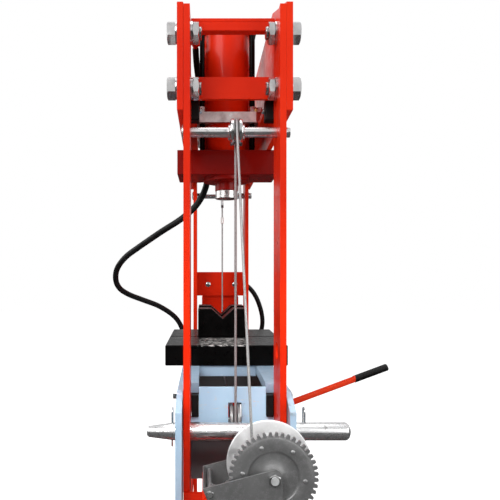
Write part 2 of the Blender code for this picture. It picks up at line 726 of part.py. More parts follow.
def winch_drum():
    """Shaft, rope drum and inner flange turned in one piece."""
    end = GEAR_X + GEAR_THICK + GAP
    profile = [
        (SHAFT_RADIUS, WINCH_OUTER_X - 0.009), (SHAFT_RADIUS, end), (DRUM_RADIUS, end),
        (DRUM_RADIUS, FLANGE_X - FLANGE_THICK), (FLANGE_RADIUS, FLANGE_X - FLANGE_THICK),
        (FLANGE_RADIUS, FLANGE_X), (SHAFT_RADIUS + 0.006, FLANGE_X),
        (SHAFT_RADIUS + 0.006, WINCH_INNER_X - WINCH_PLATE - GAP),
        (SHAFT_RADIUS, WINCH_INNER_X - WINCH_PLATE - GAP), (SHAFT_RADIUS, WINCH_INNER_X + SHAFT_END),
    ]
    origin = (ROPE_DRUM_X, WINCH_Y, WINCH_Z)
    return turned("winch_drum", "X", (WINCH_Y, WINCH_Z), profile, ZINC, origin)


def winch_gear():
    """The large gear riveted to the drum's outer end."""
    turn = CRANK_DIRECTION + pi / GEAR_TEETH
    outline = teeth_outline((WINCH_Y, WINCH_Z), GEAR_TEETH, GEAR_PITCH_RADIUS, GEAR_MODULE, turn)
    origin = (GEAR_X, WINCH_Y, WINCH_Z)
    made = prism("winch_gear", outline, "X", GEAR_X, GEAR_X + GEAR_THICK, ZINC, origin)
    return cut(made, rod("bore", "X", (WINCH_Y, WINCH_Z), SHAFT_RADIUS + GAP,
                         WINCH_OUTER_X - 0.1, WINCH_INNER_X + 0.1, ZINC))


def ratchet_outline():
    step = 2 * pi / RATCHET_TEETH
    points = []
    for i in range(RATCHET_TEETH):
        for share, radius in ((0.0, RATCHET_RADIUS), (0.9, RATCHET_RADIUS - 0.004)):
            angle = (i + share) * step
            points.append((CRANK_Y + radius * cos(angle), CRANK_Z + radius * sin(angle)))
    return points


def winch_crank():
    """Crank shaft with its pinion and ratchet wheel, the arm and the grip's pin."""
    origin = (GEAR_X, CRANK_Y, CRANK_Z)
    centre = (CRANK_Y, CRANK_Z)
    arm_x = WINCH_OUTER_X - ARM_GAP
    outer_x = arm_x - CRANK_THICK
    made = rod("winch_crank", "X", centre, SHAFT_RADIUS, outer_x - 0.006, WINCH_INNER_X + SHAFT_END,
               ZINC, origin)
    turn = CRANK_DIRECTION + pi
    pinion = teeth_outline(centre, PINION_TEETH, PINION_PITCH_RADIUS, GEAR_MODULE, turn)
    unite(made, prism("pinion", pinion, "X", GEAR_X - 0.001, GEAR_X + GEAR_THICK + 0.002, ZINC))
    unite(made, prism("ratchet", ratchet_outline(), "X", RATCHET_X, RATCHET_X + RATCHET_THICK, ZINC))
    half = CRANK_WIDTH / 2
    low = (CRANK_Y, CRANK_Z - CRANK_LENGTH)
    outline = arc(centre, half, 0, 180, 10) + arc(low, half, 180, 360, 10)
    unite(made, prism("arm", outline, "X", arm_x, outer_x, ZINC))
    pin_end = outer_x - GAP - GRIP_LENGTH - SHAFT_END
    unite(made, rod("grip_pin", "X", low, GRIP_PIN_RADIUS, arm_x - 0.002, pin_end, ZINC))
    return made


def winch_grip():
    """The sleeve that turns on the crank's pin."""
    centre = (CRANK_Y, CRANK_Z - CRANK_LENGTH)
    end = WINCH_OUTER_X - ARM_GAP - CRANK_THICK - GAP
    origin = (end, *centre)
    r = GRIP_RADIUS
    profile = [
        (r * 0.75, end - GRIP_LENGTH), (r, end - GRIP_LENGTH + 0.008), (r * 0.9, end - GRIP_LENGTH / 2),
        (r, end - 0.012), (r * 0.8, end),
    ]
    made = turned("winch_grip", "X", centre, profile, RUBBER, origin)
    return cut(made, rod("bore", "X", centre, GRIP_PIN_RADIUS + GAP,
                         end - GRIP_LENGTH - 0.1, end + 0.1, RUBBER))


def winch_pawl():
    """Pivot pin and pawl; its nose lies just off the ratchet wheel."""
    origin = (RATCHET_X, PAWL_Y, PAWL_Z)
    made = rod("winch_pawl", "X", (PAWL_Y, PAWL_Z), PAWL_PIN_RADIUS, WINCH_OUTER_X - 0.007,
               WINCH_INNER_X + SHAFT_END, ZINC, origin)
    pivot = Vector((PAWL_Y, PAWL_Z))
    nose_reach = Vector(PAWL_NOSE_DIRECTION).normalized() * (RATCHET_RADIUS + 0.0015)
    nose = Vector((CRANK_Y, CRANK_Z)) + nose_reach
    along = (nose - pivot).normalized()
    across = Vector((-along.y, along.x))
    outline = [
        pivot + across * PAWL_HALF, pivot - across * PAWL_HALF,
        nose - across * PAWL_NOSE_HALF, nose + across * PAWL_NOSE_HALF,
    ]
    unite(made, prism("pawl", outline, "X", RATCHET_X, RATCHET_X + RATCHET_THICK, ZINC))
    return made


# ---- cylinder carriage ------------------------------------------------------------------
def rod_places():
    return [(CYLINDER_X + i * ROD_X, j * ROD_Y) for i in (-1, 1) for j in (-1, 1)]


def carriage_block():
    """The block under the beams, with the ring and the neck that guide the ram."""
    x0 = CYLINDER_X - BLOCK_LENGTH / 2
    made = box("carriage_block", (x0, -BLOCK_DEPTH / 2, BLOCK_BOTTOM),
               (x0 + BLOCK_LENGTH, BLOCK_DEPTH / 2, BLOCK_TOP), DARK_RED)
    centre = (CYLINDER_X, 0.0)
    ring_bottom = BLOCK_BOTTOM - COLLET_THICK
    unite(made, rod("ring", "Z", centre, COLLET_RADIUS, ring_bottom, BLOCK_BOTTOM + WELD, DARK_RED))
    unite(made, rod("neck", "Z", centre, NECK_RADIUS, NECK_BOTTOM, ring_bottom + WELD, DARK_RED))
    return cut(made, rod("bore", "Z", centre, RAM_RADIUS + GAP, 1.3, 1.6, DARK_RED))


def cylinder_barrel():
    """The barrel, open at its lower end, with the elbow for the hose near its top."""
    centre = (CYLINDER_X, 0.0)
    made = rod("cylinder_barrel", "Z", centre, BARREL_RADIUS, BLOCK_TOP + GAP, BARREL_TOP, RED, steps=24)
    bore_top = BARREL_TOP - BARREL_END_THICK
    cut(made, rod("bore", "Z", centre, BARREL_BORE, BLOCK_BOTTOM, bore_top, RED, steps=24))
    reach = HOSE_START[1] + PORT_RADIUS
    stub = rod("port_stub", "Y", (CYLINDER_X, PORT_Z), PORT_RADIUS, BARREL_RADIUS - WELD * 4, reach,
               ZINC, steps=12)
    elbow = rod("port_elbow", "X", (HOSE_START[1], PORT_Z), PORT_RADIUS * 0.95, CYLINDER_X,
                HOSE_START[0] - GAP, ZINC, steps=12)
    return unite(made, stub, elbow)


def cylinder_tie_rods():
    """The head plate over the barrel and its four tie rods down to the block."""
    half_x = ROD_X + CAP_MARGIN_X
    half_y = ROD_Y + CAP_MARGIN_Y
    base = BARREL_TOP + GAP
    made = box("cylinder_tie_rods", (CYLINDER_X - half_x, -half_y, base),
               (CYLINDER_X + half_x, half_y, base + CAP_THICK), RED)
    for place in rod_places():
        unite(made, rod("tie_rod", "Z", place, ROD_RADIUS, BLOCK_TOP + GAP, base + WELD, BLACK))
    return made


def carriage_plate():
    """The plate between the beams that rides on the rails and holds the barrel upright."""
    half = SLIDE_PLATE_DEPTH / 2
    c = SLIDE_PLATE_CHAMFER
    x0 = CYLINDER_X - SLIDE_PLATE_LENGTH / 2
    x1 = x0 + SLIDE_PLATE_LENGTH
    outline = [
        (x0 + c, -half), (x1 - c, -half), (x1, -half + c), (x1, half - c),
        (x1 - c, half), (x0 + c, half), (x0, half - c), (x0, -half + c),
    ]
    base = RAIL_TOP + GAP
    made = prism("carriage_plate", outline, "Z", base, base + SLIDE_PLATE_THICK, ZINC)
    cut(made, rod("bore", "Z", (CYLINDER_X, 0.0), BARREL_RADIUS + 0.0005, 1.5, 1.7, ZINC, steps=24))
    for place in rod_places():
        cut(made, rod("rod_hole", "Z", place, ROD_RADIUS + 0.0005, 1.5, 1.7, ZINC))
    return made


def ram():
    """Piston, rod and the wider pressing end."""
    profile = [
        (RAM_TIP_RADIUS, RAM_BOTTOM), (RAM_TIP_RADIUS, NECK_BOTTOM - GAP), (RAM_RADIUS, NECK_BOTTOM - GAP),
        (RAM_RADIUS, RAM_TOP - PISTON_THICK), (BARREL_BORE - 0.001, RAM_TOP - PISTON_THICK),
        (BARREL_BORE - 0.001, RAM_TOP),
    ]
    return turned("ram", "Z", (CYLINDER_X, 0.0), profile, STEEL, (CYLINDER_X, 0.0, RAM_BOTTOM))


# ---- bed --------------------------------------------------------------------------------
def bed_side(sign, name):
    """A side plate outside the bars, notched over both pins, with the top rail inside it."""
    half = BED_HALF
    run = BED_CHAMFER_RUN
    drop = BED_CHAMFER_DROP
    notch = PIN_RADIUS + GAP
    outline = [(-half, BED_TOP - drop), (-half, BED_BOTTOM)]
    for side, _ in SIDES:
        x0 = side * COLUMN_X
        outline += [(x0 - notch, BED_BOTTOM)]
        outline += arc((x0, PIN_Z), notch, 180, 0, 12)
        outline += [(x0 + notch, BED_BOTTOM)]
    outline += [(half, BED_BOTTOM), (half, BED_TOP - drop), (half - run, BED_TOP), (-half + run, BED_TOP)]
    made = prism(f"bed_{name}_side", outline, "Y", sign * BED_IN, sign * BED_OUT, BLUE_GREY)
    end = END_X - END_PLATE_THICK / 2 - GAP
    return unite(made, box("top_rail", (-end, sign * (BED_IN + WELD), BED_TOP - BED_RAIL_HEIGHT),
                           (end, sign * (BED_IN - BED_RAIL_DEPTH), BED_TOP), BLUE_GREY))


def bed_end(side, name):
    """An end plate, its shelf and the set-back lower plate, slotted for the rope sheave."""
    wide = BED_IN - GAP
    narrow = BED_IN - BED_RAIL_DEPTH - GAP
    near = side * (END_X + END_PLATE_THICK / 2)
    far = side * (END_X - END_PLATE_THICK / 2)
    outline = [
        (-wide, END_SHELF_BOTTOM), (wide, END_SHELF_BOTTOM), (wide, END_SHOULDER),
        (narrow, END_SHOULDER), (narrow, END_PLATE_TOP), (-narrow, END_PLATE_TOP),
        (-narrow, END_SHOULDER), (-wide, END_SHOULDER),
    ]
    made = prism(f"bed_{name}_end", outline, "X", near, far, BLUE_GREY)
    back = far - side * END_RECESS
    shelf_top = END_SHELF_BOTTOM + END_SHELF_THICK
    unite(made, box("shelf", (far + side * WELD, -wide, END_SHELF_BOTTOM),
                    (back, wide, shelf_top), BLUE_GREY))
    unite(made, box("lower_plate", (back + side * WELD, -wide, BED_BOTTOM),
                    (back - side * END_PLATE_THICK, wide, shelf_top), BLUE_GREY))
    half = SHEAVE_WIDTH / 2 + 0.004
    reach = SHEAVE_RADIUS + 0.004
    cut(made, box("sheave_slot", (side * (END_X + reach), ROPE_Y - half, END_SHELF_BOTTOM - 0.03),
                  (side * (END_X - reach), ROPE_Y + half, SHEAVE_Z + reach), BLUE_GREY))
    rope_z = SHEAVE_Z - SHEAVE_ROPE_RADIUS
    cut(made, box("rope_slot", (side * (END_X - ROPE_SLOT[0]), ROPE_Y - 0.008, rope_z - 0.010),
                  (side * (END_X - ROPE_SLOT[1]), ROPE_Y + 0.008, rope_z + 0.012), BLUE_GREY))
    cut(made, rod("sheave_pin_hole", "Y", (side * END_X, SHEAVE_Z), SHEAVE_PIN_RADIUS + GAP,
                  ROPE_Y - half - 0.012, ROPE_Y + half + 0.012, BLUE_GREY))
    return made


def bed_sheave(side, name):
    """A sheave and its pin, held in the bed's end plate."""
    centre = (side * END_X, SHEAVE_Z)
    made = grooved_wheel(f"{name}_bed_sheave", centre, SHEAVE_RADIUS, SHEAVE_ROPE_RADIUS, SHEAVE_WIDTH,
                         SHEAVE_PIN_RADIUS - 0.001, ZINC)
    half = SHEAVE_WIDTH / 2 + 0.014
    return unite(made, rod("pin", "Y", centre, SHEAVE_PIN_RADIUS, ROPE_Y - half, ROPE_Y + half, ZINC))


def bed_crossbar(side, name):
    """A bar across the bed between the two top rails."""
    wide = BED_IN - BED_RAIL_DEPTH - GAP
    x0 = side * CROSSBAR_X
    return box(f"bed_{name}_crossbar", (x0 - CROSSBAR_THICK / 2, -wide, BED_TOP - CROSSBAR_HEIGHT),
               (x0 + CROSSBAR_THICK / 2, wide, BED_TOP), BLUE_GREY)


def bed_pin(side, name):
    """A bed pin, tapered at the back and rounded at the front, drilled for its two clips."""
    centre = (side * COLUMN_X, PIN_Z)
    nose = [
        (PIN_RADIUS * sin(radians(a)), -PIN_FRONT + PIN_NOSE * (1 - cos(radians(a))))
        for a in (25, 50, 75, 90)
    ]
    profile = [*nose, (PIN_RADIUS, PIN_BACK - PIN_TAPER), (PIN_RADIUS * 0.62, PIN_BACK - 0.004),
               (PIN_RADIUS * 0.45, PIN_BACK)]
    made = turned(f"{name}_bed_pin", "Y", centre, profile, ZINC, (centre[0], 0.0, centre[1]))
    for place in (-CLIP_FRONT, CLIP_BACK):
        cut(made, rod("clip_hole", "Z", (centre[0], place), CLIP_WIRE + GAP * 2, 0.7, 0.9, ZINC, steps=12))
    return made


def pin_clip(side, place, name):
    """A wire clip: one leg through the pin, a spring eye above it and one leg round its side."""
    x0 = side * COLUMN_X
    out = PIN_RADIUS + CLIP_WIRE + GAP * 2
    eye = (out / 2, PIN_RADIUS + 0.020)
    spring = arc(eye, out / 2, 180, 0, 10)
    outer = [(out * 1.05, PIN_RADIUS * 0.6), (out * 1.02, 0.0), (out * 1.02, -PIN_RADIUS * 0.55),
             (out * 1.1, -PIN_RADIUS * 0.9)]
    flat = [(0.0, -PIN_RADIUS - 0.014), (0.0, PIN_RADIUS), *spring, *outer]
    points = [(x0 + a, place, PIN_Z + b) for a, b in flat]
    return tube(name, points, CLIP_WIRE, ZINC, (x0, place, PIN_Z), resolution=1)


def press_plate(start, name):
    return box(name, (start, -PLATE_FRONT, PLATE_BOTTOM), (start + PLATE_LENGTH, PLATE_BACK, PLATE_TOP),
               BLACK, (start, 0.0, PLATE_BOTTOM), bevel=0.002)


def v_block(start, name):
    """A block with a V notch across its top, along the bed."""
    half = V_BLOCK_DEPTH / 2
    base = PLATE_TOP + GAP
    top = base + V_BLOCK_HEIGHT
    outline = [
        (V_BLOCK_Y - half, base), (V_BLOCK_Y + half, base), (V_BLOCK_Y + half, top),
        (V_BLOCK_Y + V_HALF_WIDTH, top), (V_BLOCK_Y, top - V_DEPTH), (V_BLOCK_Y - V_HALF_WIDTH, top),
        (V_BLOCK_Y - half, top),
    ]
    return prism(name, outline, "X", start, start + V_BLOCK_LENGTH, BLACK, (start, V_BLOCK_Y, base))


# ---- hose -------------------------------------------------------------------------------
HOSE_START = (-0.085, 0.094, PORT_Z)
HOSE_SPLIT = (0.077, 0.283, 1.238)
HOSE_END = (0.630, -0.0855, 1.0955)
HOSE_LEAD = 0.006           # straight end of each stretch of hose
HOSE_UPPER_ROUTE = (
    HOSE_START, (-0.066, 0.094, PORT_Z), (-0.040, 0.093, 1.827), (-0.021, 0.090, 1.797),
    (-0.013, 0.082, 1.740), (-0.010, 0.070, 1.660), (-0.009, 0.062, 1.580), (-0.008, 0.056, 1.500),
    (-0.006, 0.060, 1.432), (-0.002, 0.088, 1.372), (0.004, 0.138, 1.325), (0.030, 0.211, 1.281), HOSE_SPLIT,
)
HOSE_LOWER_ROUTE = (
    HOSE_SPLIT, (0.122, 0.338, 1.203), (0.160, 0.374, 1.163), (0.203, 0.386, 1.122), (0.246, 0.378, 1.090),
    (0.288, 0.350, 1.066), (0.332, 0.307, 1.045), (0.387, 0.242, 1.014), (0.440, 0.184, 0.966),
    (0.492, 0.156, 0.905), (0.560, 0.155, 0.845), (0.640, 0.144, 0.803), (0.712, 0.108, 0.778),
    (0.750, 0.030, 0.764), (0.752, -0.058, 0.774), (0.724, -0.137, 0.812), (0.684, -0.180, 0.868),
    (0.657, -0.191, 0.930), (0.642, -0.178, 0.998), (0.633, -0.150, 1.058), (0.630, -0.112, HOSE_END[2]),
    HOSE_END,
)
SPLIT_DIRECTION = (Vector(HOSE_LOWER_ROUTE[1]) - Vector(HOSE_UPPER_ROUTE[-2])).normalized()


def hose(route, name, count, first, last):
    """One stretch of hose; first and last are the directions it takes at its two ends."""
    points = smooth_path(route, count)
    points[0] += first * GAP
    points[-1] -= last * GAP
    points.insert(1, points[0] + first * HOSE_LEAD)
    points.insert(-1, points[-1] - last * HOSE_LEAD)
    return tube(name, points, HOSE_RADIUS, RUBBER)


# ---- hand pump --------------------------------------------------------------------------
def pump_tank():
    """The oil tank, its back plate and the fitting that the hose leaves from."""
    half = TANK_DEPTH / 2
    made = box("pump_tank", (TANK_X, -half, TANK_BOTTOM), (TANK_X + TANK_LENGTH, half, TANK_TOP), RED,
               bevel=0.006)
    unite(made, box("back_plate", (BAR_OUTER_X + GAP, -half + WELD * 3, BACK_PLATE_BOTTOM),
                    (TANK_X + WELD * 2, half - WELD * 3, BACK_PLATE_TOP), RED))
    x0, y0, z0 = HOSE_END
    y1 = y0 + OUTLET_REACH
    unite(made, rod("outlet", "Z", (x0, y1), PORT_RADIUS, TANK_TOP - WELD * 4, z0 + PORT_RADIUS, ZINC,
                    steps=12))
    unite(made, rod("outlet_elbow", "Y", (x0, z0), PORT_RADIUS * 0.95, y0 + GAP, y1, ZINC, steps=12))
    return made


def pump_body():
    """The pump block under the tank, with the lever's ears and the plunger's bore."""
    made = box("pump_body", (PUMP_X - PUMP_BLOCK_HALF_X, -PUMP_BLOCK_HALF_Y, PUMP_BLOCK_BOTTOM),
               (PUMP_X + PUMP_BLOCK_HALF_X, PUMP_BLOCK_HALF_Y, TANK_BOTTOM - GAP), DARK_RED, bevel=0.003)
    root = PUMP_BLOCK_BOTTOM + WELD * 4
    for sign in (-1, 1):
        outline = arc((PUMP_PIVOT_Y, PUMP_PIVOT_Z), EAR_RADIUS, 180, 360, 10)
        outline += [(PUMP_PIVOT_Y + EAR_RADIUS, root), (PUMP_PIVOT_Y - EAR_RADIUS, root)]
        unite(made, prism("ear", outline, "X", PUMP_X + sign * EAR_NEAR, PUMP_X + sign * EAR_FAR, DARK_RED))
    hole = rod("pivot_hole", "X", (PUMP_PIVOT_Y, PUMP_PIVOT_Z), LEVER_PIN_RADIUS + GAP,
               PUMP_X - 0.1, PUMP_X + 0.1, DARK_RED)
    notch = box("lever_notch", (PUMP_X - PUMP_NOTCH_HALF, -0.1, 0.4),
                (PUMP_X + PUMP_NOTCH_HALF, PUMP_NOTCH_BACK, PUMP_NOTCH_TOP), DARK_RED)
    bore = rod("plunger_bore", "Z", (PUMP_X, PLUNGER_Y), PLUNGER_RADIUS + GAP, 0.4, PLUNGER_BORE_TOP,
               DARK_RED)
    valve = rod("valve_bore", "Y", (VALVE_X, VALVE_Z), VALVE_STEM_RADIUS + GAP, -0.2, -0.030, DARK_RED)
    return cut(made, hole, notch, bore, valve)


def along_handle(distance):
    """A point on the handle's axis, in the YZ plane."""
    return Vector((PUMP_PIVOT_Y - distance * cos(HANDLE_ANGLE), PUMP_PIVOT_Z + distance * sin(HANDLE_ANGLE)))


def handle_part(name, profile, finish, origin, steps=16):
    """A turned piece whose axis is the handle's."""
    made = turned(name, "Y", (0.0, 0.0), [(r, -place) for r, place in profile], finish, steps=steps)
    turn = Matrix.Rotation(-HANDLE_ANGLE, 4, "X")
    made.data.transform(Matrix.Translation((PUMP_X, PUMP_PIVOT_Y, PUMP_PIVOT_Z)) @ turn)
    made.data.transform(Matrix.Translation(-Vector(origin)))
    made.location = origin
    return made


def pump_lever():
    """The forked lever on its pivot pin, slotted for the plunger's pin, with the handle's socket."""
    origin = (PUMP_X, PUMP_PIVOT_Y, PUMP_PIVOT_Z)
    u = (along_handle(1.0) - along_handle(0.0)).normalized()
    n = Vector((u.y, -u.x))

    def bar(name, start, end, half_height, half_width, place):
        """A bar along the handle's axis."""
        a = along_handle(start)
        b = along_handle(end)
        outline = [a + n * half_height, a - n * half_height, b - n * half_height, b + n * half_height]
        return prism(name, outline, "X", PUMP_X - half_width, PUMP_X + half_width, DARK_RED, place)

    zero = (0.0, 0.0, 0.0)
    pivot = along_handle(0.0)
    made = bar("pump_lever", 0.0, SOCKET_START + 0.010, LEVER_HALF_HEIGHT, LEVER_HALF_WIDTH, origin)
    half = LEVER_HALF_WIDTH + WELD / 2
    unite(made, rod("boss", "X", pivot, LEVER_BOSS_RADIUS, PUMP_X - half, PUMP_X + half, DARK_RED))
    reach = EAR_FAR + WELD * 4
    unite(made, rod("pivot_pin", "X", pivot, LEVER_PIN_RADIUS, PUMP_X - reach, PUMP_X + reach, DARK_RED))
    socket = [
        (SOCKET_RADIUS * 0.6, SOCKET_START), (SOCKET_RADIUS, SOCKET_START + 0.008), (SOCKET_RADIUS, SOCKET_END),
    ]
    unite(made, handle_part("socket", socket, DARK_RED, zero))
    bore = HANDLE_RADIUS + GAP
    cut(made, handle_part("socket_bore", [(bore, HANDLE_START - GAP), (bore, 0.30)], DARK_RED, zero))
    cut(made, bar("fork", *LEVER_FORK, 0.03, PLUNGER_RADIUS + WELD, zero))
    return cut(made, bar("pin_slot", *LEVER_PIN_SLOT, PLUNGER_PIN_RADIUS + 0.0025, 0.03, zero))


def pump_handle():
    """The long tube handle and its grip."""
    start = HANDLE_END - HANDLE_GRIP_LENGTH
    profile = [
        (HANDLE_RADIUS, HANDLE_START), (HANDLE_RADIUS, start), (HANDLE_GRIP_RADIUS, start),
        (HANDLE_GRIP_RADIUS, HANDLE_END - 0.004), (HANDLE_GRIP_RADIUS - 0.004, HANDLE_END),
    ]
    origin = (PUMP_X, *along_handle(HANDLE_START))
    return handle_part("pump_handle", profile, RED, origin)


def pump_plunger():
    """The plunger, with the cross pin that the lever's slot carries."""
    reach = PUMP_PIVOT_Y - PLUNGER_Y
    pin_z = PUMP_PIVOT_Z + reach * tan(HANDLE_ANGLE)
    bottom = pin_z - PLUNGER_PIN_DROP
    made = rod("pump_plunger", "Z", (PUMP_X, PLUNGER_Y), PLUNGER_RADIUS, bottom, PLUNGER_TOP, STEEL,
               (PUMP_X, PLUNGER_Y, bottom))
    half = LEVER_HALF_WIDTH
    return unite(made, rod("cross_pin", "X", (PLUNGER_Y, pin_z), PLUNGER_PIN_RADIUS, PUMP_X - half,
                           PUMP_X + half, STEEL))


def release_valve():
    """The release valve's stem and knob."""
    profile = [
        (0.011, -0.098), (0.014, -0.095), (0.014, -0.080), (0.009, -0.0745), (0.009, -0.0703),
        (VALVE_STEM_RADIUS, -0.0703), (VALVE_STEM_RADIUS, -0.034),
    ]
    return turned("release_valve", "Y", (VALVE_X, VALVE_Z), profile, BLACK, (VALVE_X, -0.0703, VALVE_Z))


# ---- assembly ---------------------------------------------------------------------------
def clear_scene():
    for old in list(bpy.data.objects):
        bpy.data.objects.remove(old, do_unlink=True)


def build_frame():
    winch_bracket(column(-1, "left"))
    pump_mount(column(1, "right"))
    for side, name in SIDES:
        foot(side, name)
    for sign, name in FACES:
        tie_bar(sign, name)
        beam(sign, name)
    for side, side_name in SIDES:
        for sign, face_name in FACES:
            for height, level in zip(BOLT_HEIGHTS, ("upper", "lower")):
                beam_bolt(side, sign, height, f"{side_name}_{face_name}_{level}_bolt")


def build_lift():
    left_axle()
    right_anchor()
    grooved_wheel("left_pulley", (-COLUMN_X, AXLE_Z), PULLEY_RADIUS, PULLEY_ROPE_RADIUS, PULLEY_WIDTH,
                  AXLE_RADIUS + GAP, ZINC)
    winch_rope()
    rope_fall(-1, "left_rope_fall", AXLE_Z - ROPE_GAP)
    rope_fall(1, "right_rope_fall", AXLE_Z - ANCHOR_DROP - LINK_EYE_RADIUS - GAP)
    bed_rope()
    winch_frame()
    winch_drum()
    winch_gear()
    winch_crank()
    winch_grip()
    winch_pawl()


def build_carriage():
    carriage_block()
    cylinder_barrel()
    cylinder_tie_rods()
    carriage_plate()
    ram()
    hose(HOSE_UPPER_ROUTE, "hose_upper", 26, Vector((1, 0, 0)), SPLIT_DIRECTION)


def build_bed():
    for sign, name in FACES:
        bed_side(sign, name)
    for side, name in SIDES:
        bed_end(side, name)
        bed_crossbar(side, name)
        bed_sheave(side, name)
        bed_pin(side, name)
        pin_clip(side, -CLIP_FRONT, f"{name}_pin_front_clip")
        pin_clip(side, CLIP_BACK, f"{name}_pin_back_clip")
    press_plate(PLATE_START, "left_press_plate")
    press_plate(PLATE_START + PLATE_SPACING, "right_press_plate")
    for start, (_, name) in zip(V_BLOCK_STARTS, SIDES):
        v_block(start, f"{name}_v_block")


def build_pump():
    pump_tank()
    pump_body()
    pump_lever()
    pump_handle()
    pump_plunger()
    release_valve()
    hose(HOSE_LOWER_ROUTE, "hose_lower", 42, SPLIT_DIRECTION, Vector((0, 1, 0)))


def move_origin():
    """Put the origin under the middle of the left foot."""
    for made in bpy.data.objects:
        made.location.x += COLUMN_X


clear_scene()
build_frame()
build_lift()
build_carriage()
build_bed()
build_pump()
move_origin()
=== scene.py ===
"""Looks of the hydraulic shop press: finishes, rope, hose, fasteners and rounded edges, built
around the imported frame.  Metres, +Z up, -Y is the press's front.
"""
import json
from math import cos, pi, radians, sin

import bmesh
import bpy
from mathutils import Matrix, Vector

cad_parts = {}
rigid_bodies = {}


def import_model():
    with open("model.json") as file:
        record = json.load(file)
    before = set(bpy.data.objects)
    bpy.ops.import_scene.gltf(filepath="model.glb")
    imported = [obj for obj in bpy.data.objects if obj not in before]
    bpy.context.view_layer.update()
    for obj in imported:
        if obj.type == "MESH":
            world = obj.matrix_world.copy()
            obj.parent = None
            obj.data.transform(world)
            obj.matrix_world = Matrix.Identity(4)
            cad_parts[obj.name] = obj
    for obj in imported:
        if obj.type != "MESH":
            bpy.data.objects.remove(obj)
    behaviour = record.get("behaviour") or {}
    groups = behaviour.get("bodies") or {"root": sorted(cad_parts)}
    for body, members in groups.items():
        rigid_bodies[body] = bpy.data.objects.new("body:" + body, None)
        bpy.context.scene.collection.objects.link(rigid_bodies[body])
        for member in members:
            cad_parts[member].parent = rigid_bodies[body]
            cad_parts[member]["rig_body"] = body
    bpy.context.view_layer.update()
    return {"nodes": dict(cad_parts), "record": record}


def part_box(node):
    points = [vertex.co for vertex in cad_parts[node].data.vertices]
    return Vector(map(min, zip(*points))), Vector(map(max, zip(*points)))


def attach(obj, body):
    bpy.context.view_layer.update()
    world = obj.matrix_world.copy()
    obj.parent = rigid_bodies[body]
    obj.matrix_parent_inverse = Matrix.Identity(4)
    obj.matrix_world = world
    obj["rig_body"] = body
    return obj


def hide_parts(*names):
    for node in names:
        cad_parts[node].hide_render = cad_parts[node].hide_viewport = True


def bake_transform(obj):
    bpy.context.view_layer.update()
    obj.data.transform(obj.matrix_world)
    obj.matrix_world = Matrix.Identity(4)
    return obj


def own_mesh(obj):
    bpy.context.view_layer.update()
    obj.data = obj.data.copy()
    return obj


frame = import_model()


# ---- places taken from the frame ----------------------------------------------------------
def middle(node):
    """The middle of a node's box."""
    low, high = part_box(node)
    return (low + high) / 2


def shaft_line(node):
    """The middle of a node's box across X, for pieces placed along X by themselves."""
    place = middle(node)
    place.x = 0.0
    return place


MID = (middle("left_foot") + middle("right_foot")) / 2
MID.z = 0.0
SIDES = ((-1, "left"), (1, "right"))
FACES = ((-1, "front"), (1, "back"))


def at(x, y, z):
    """A place given from the floor midway between the columns."""
    return MID + Vector((x, y, z))


# ---- camera -------------------------------------------------------------------------------
CAMERA_PLACE = at(-1.706, 0.065, 1.151)
CAMERA_LENS = 38.16
CAMERA_SHIFT = (0.090, 0.044)   # the view's middle, right of and above straight ahead


def make_camera():
    """A camera beside the winch, looking along the bed."""
    data = bpy.data.cameras.new("camera")
    data.lens = CAMERA_LENS
    data.sensor_width = 36.0
    data.clip_start = 0.05
    data.clip_end = 100.0
    camera = bpy.data.objects.new("camera", data)
    bpy.context.scene.collection.objects.link(camera)
    data.shift_x, data.shift_y = CAMERA_SHIFT
    camera.rotation_euler = (radians(90), 0.0, radians(-90))
    camera.location = CAMERA_PLACE
    bpy.context.scene.camera = camera


# ---- materials ----------------------------------------------------------------------------
# the mix node's sockets when it mixes colours
MIX_SHARE, MIX_FIRST, MIX_SECOND = 0, 6, 7
MIX_COLOUR = 2


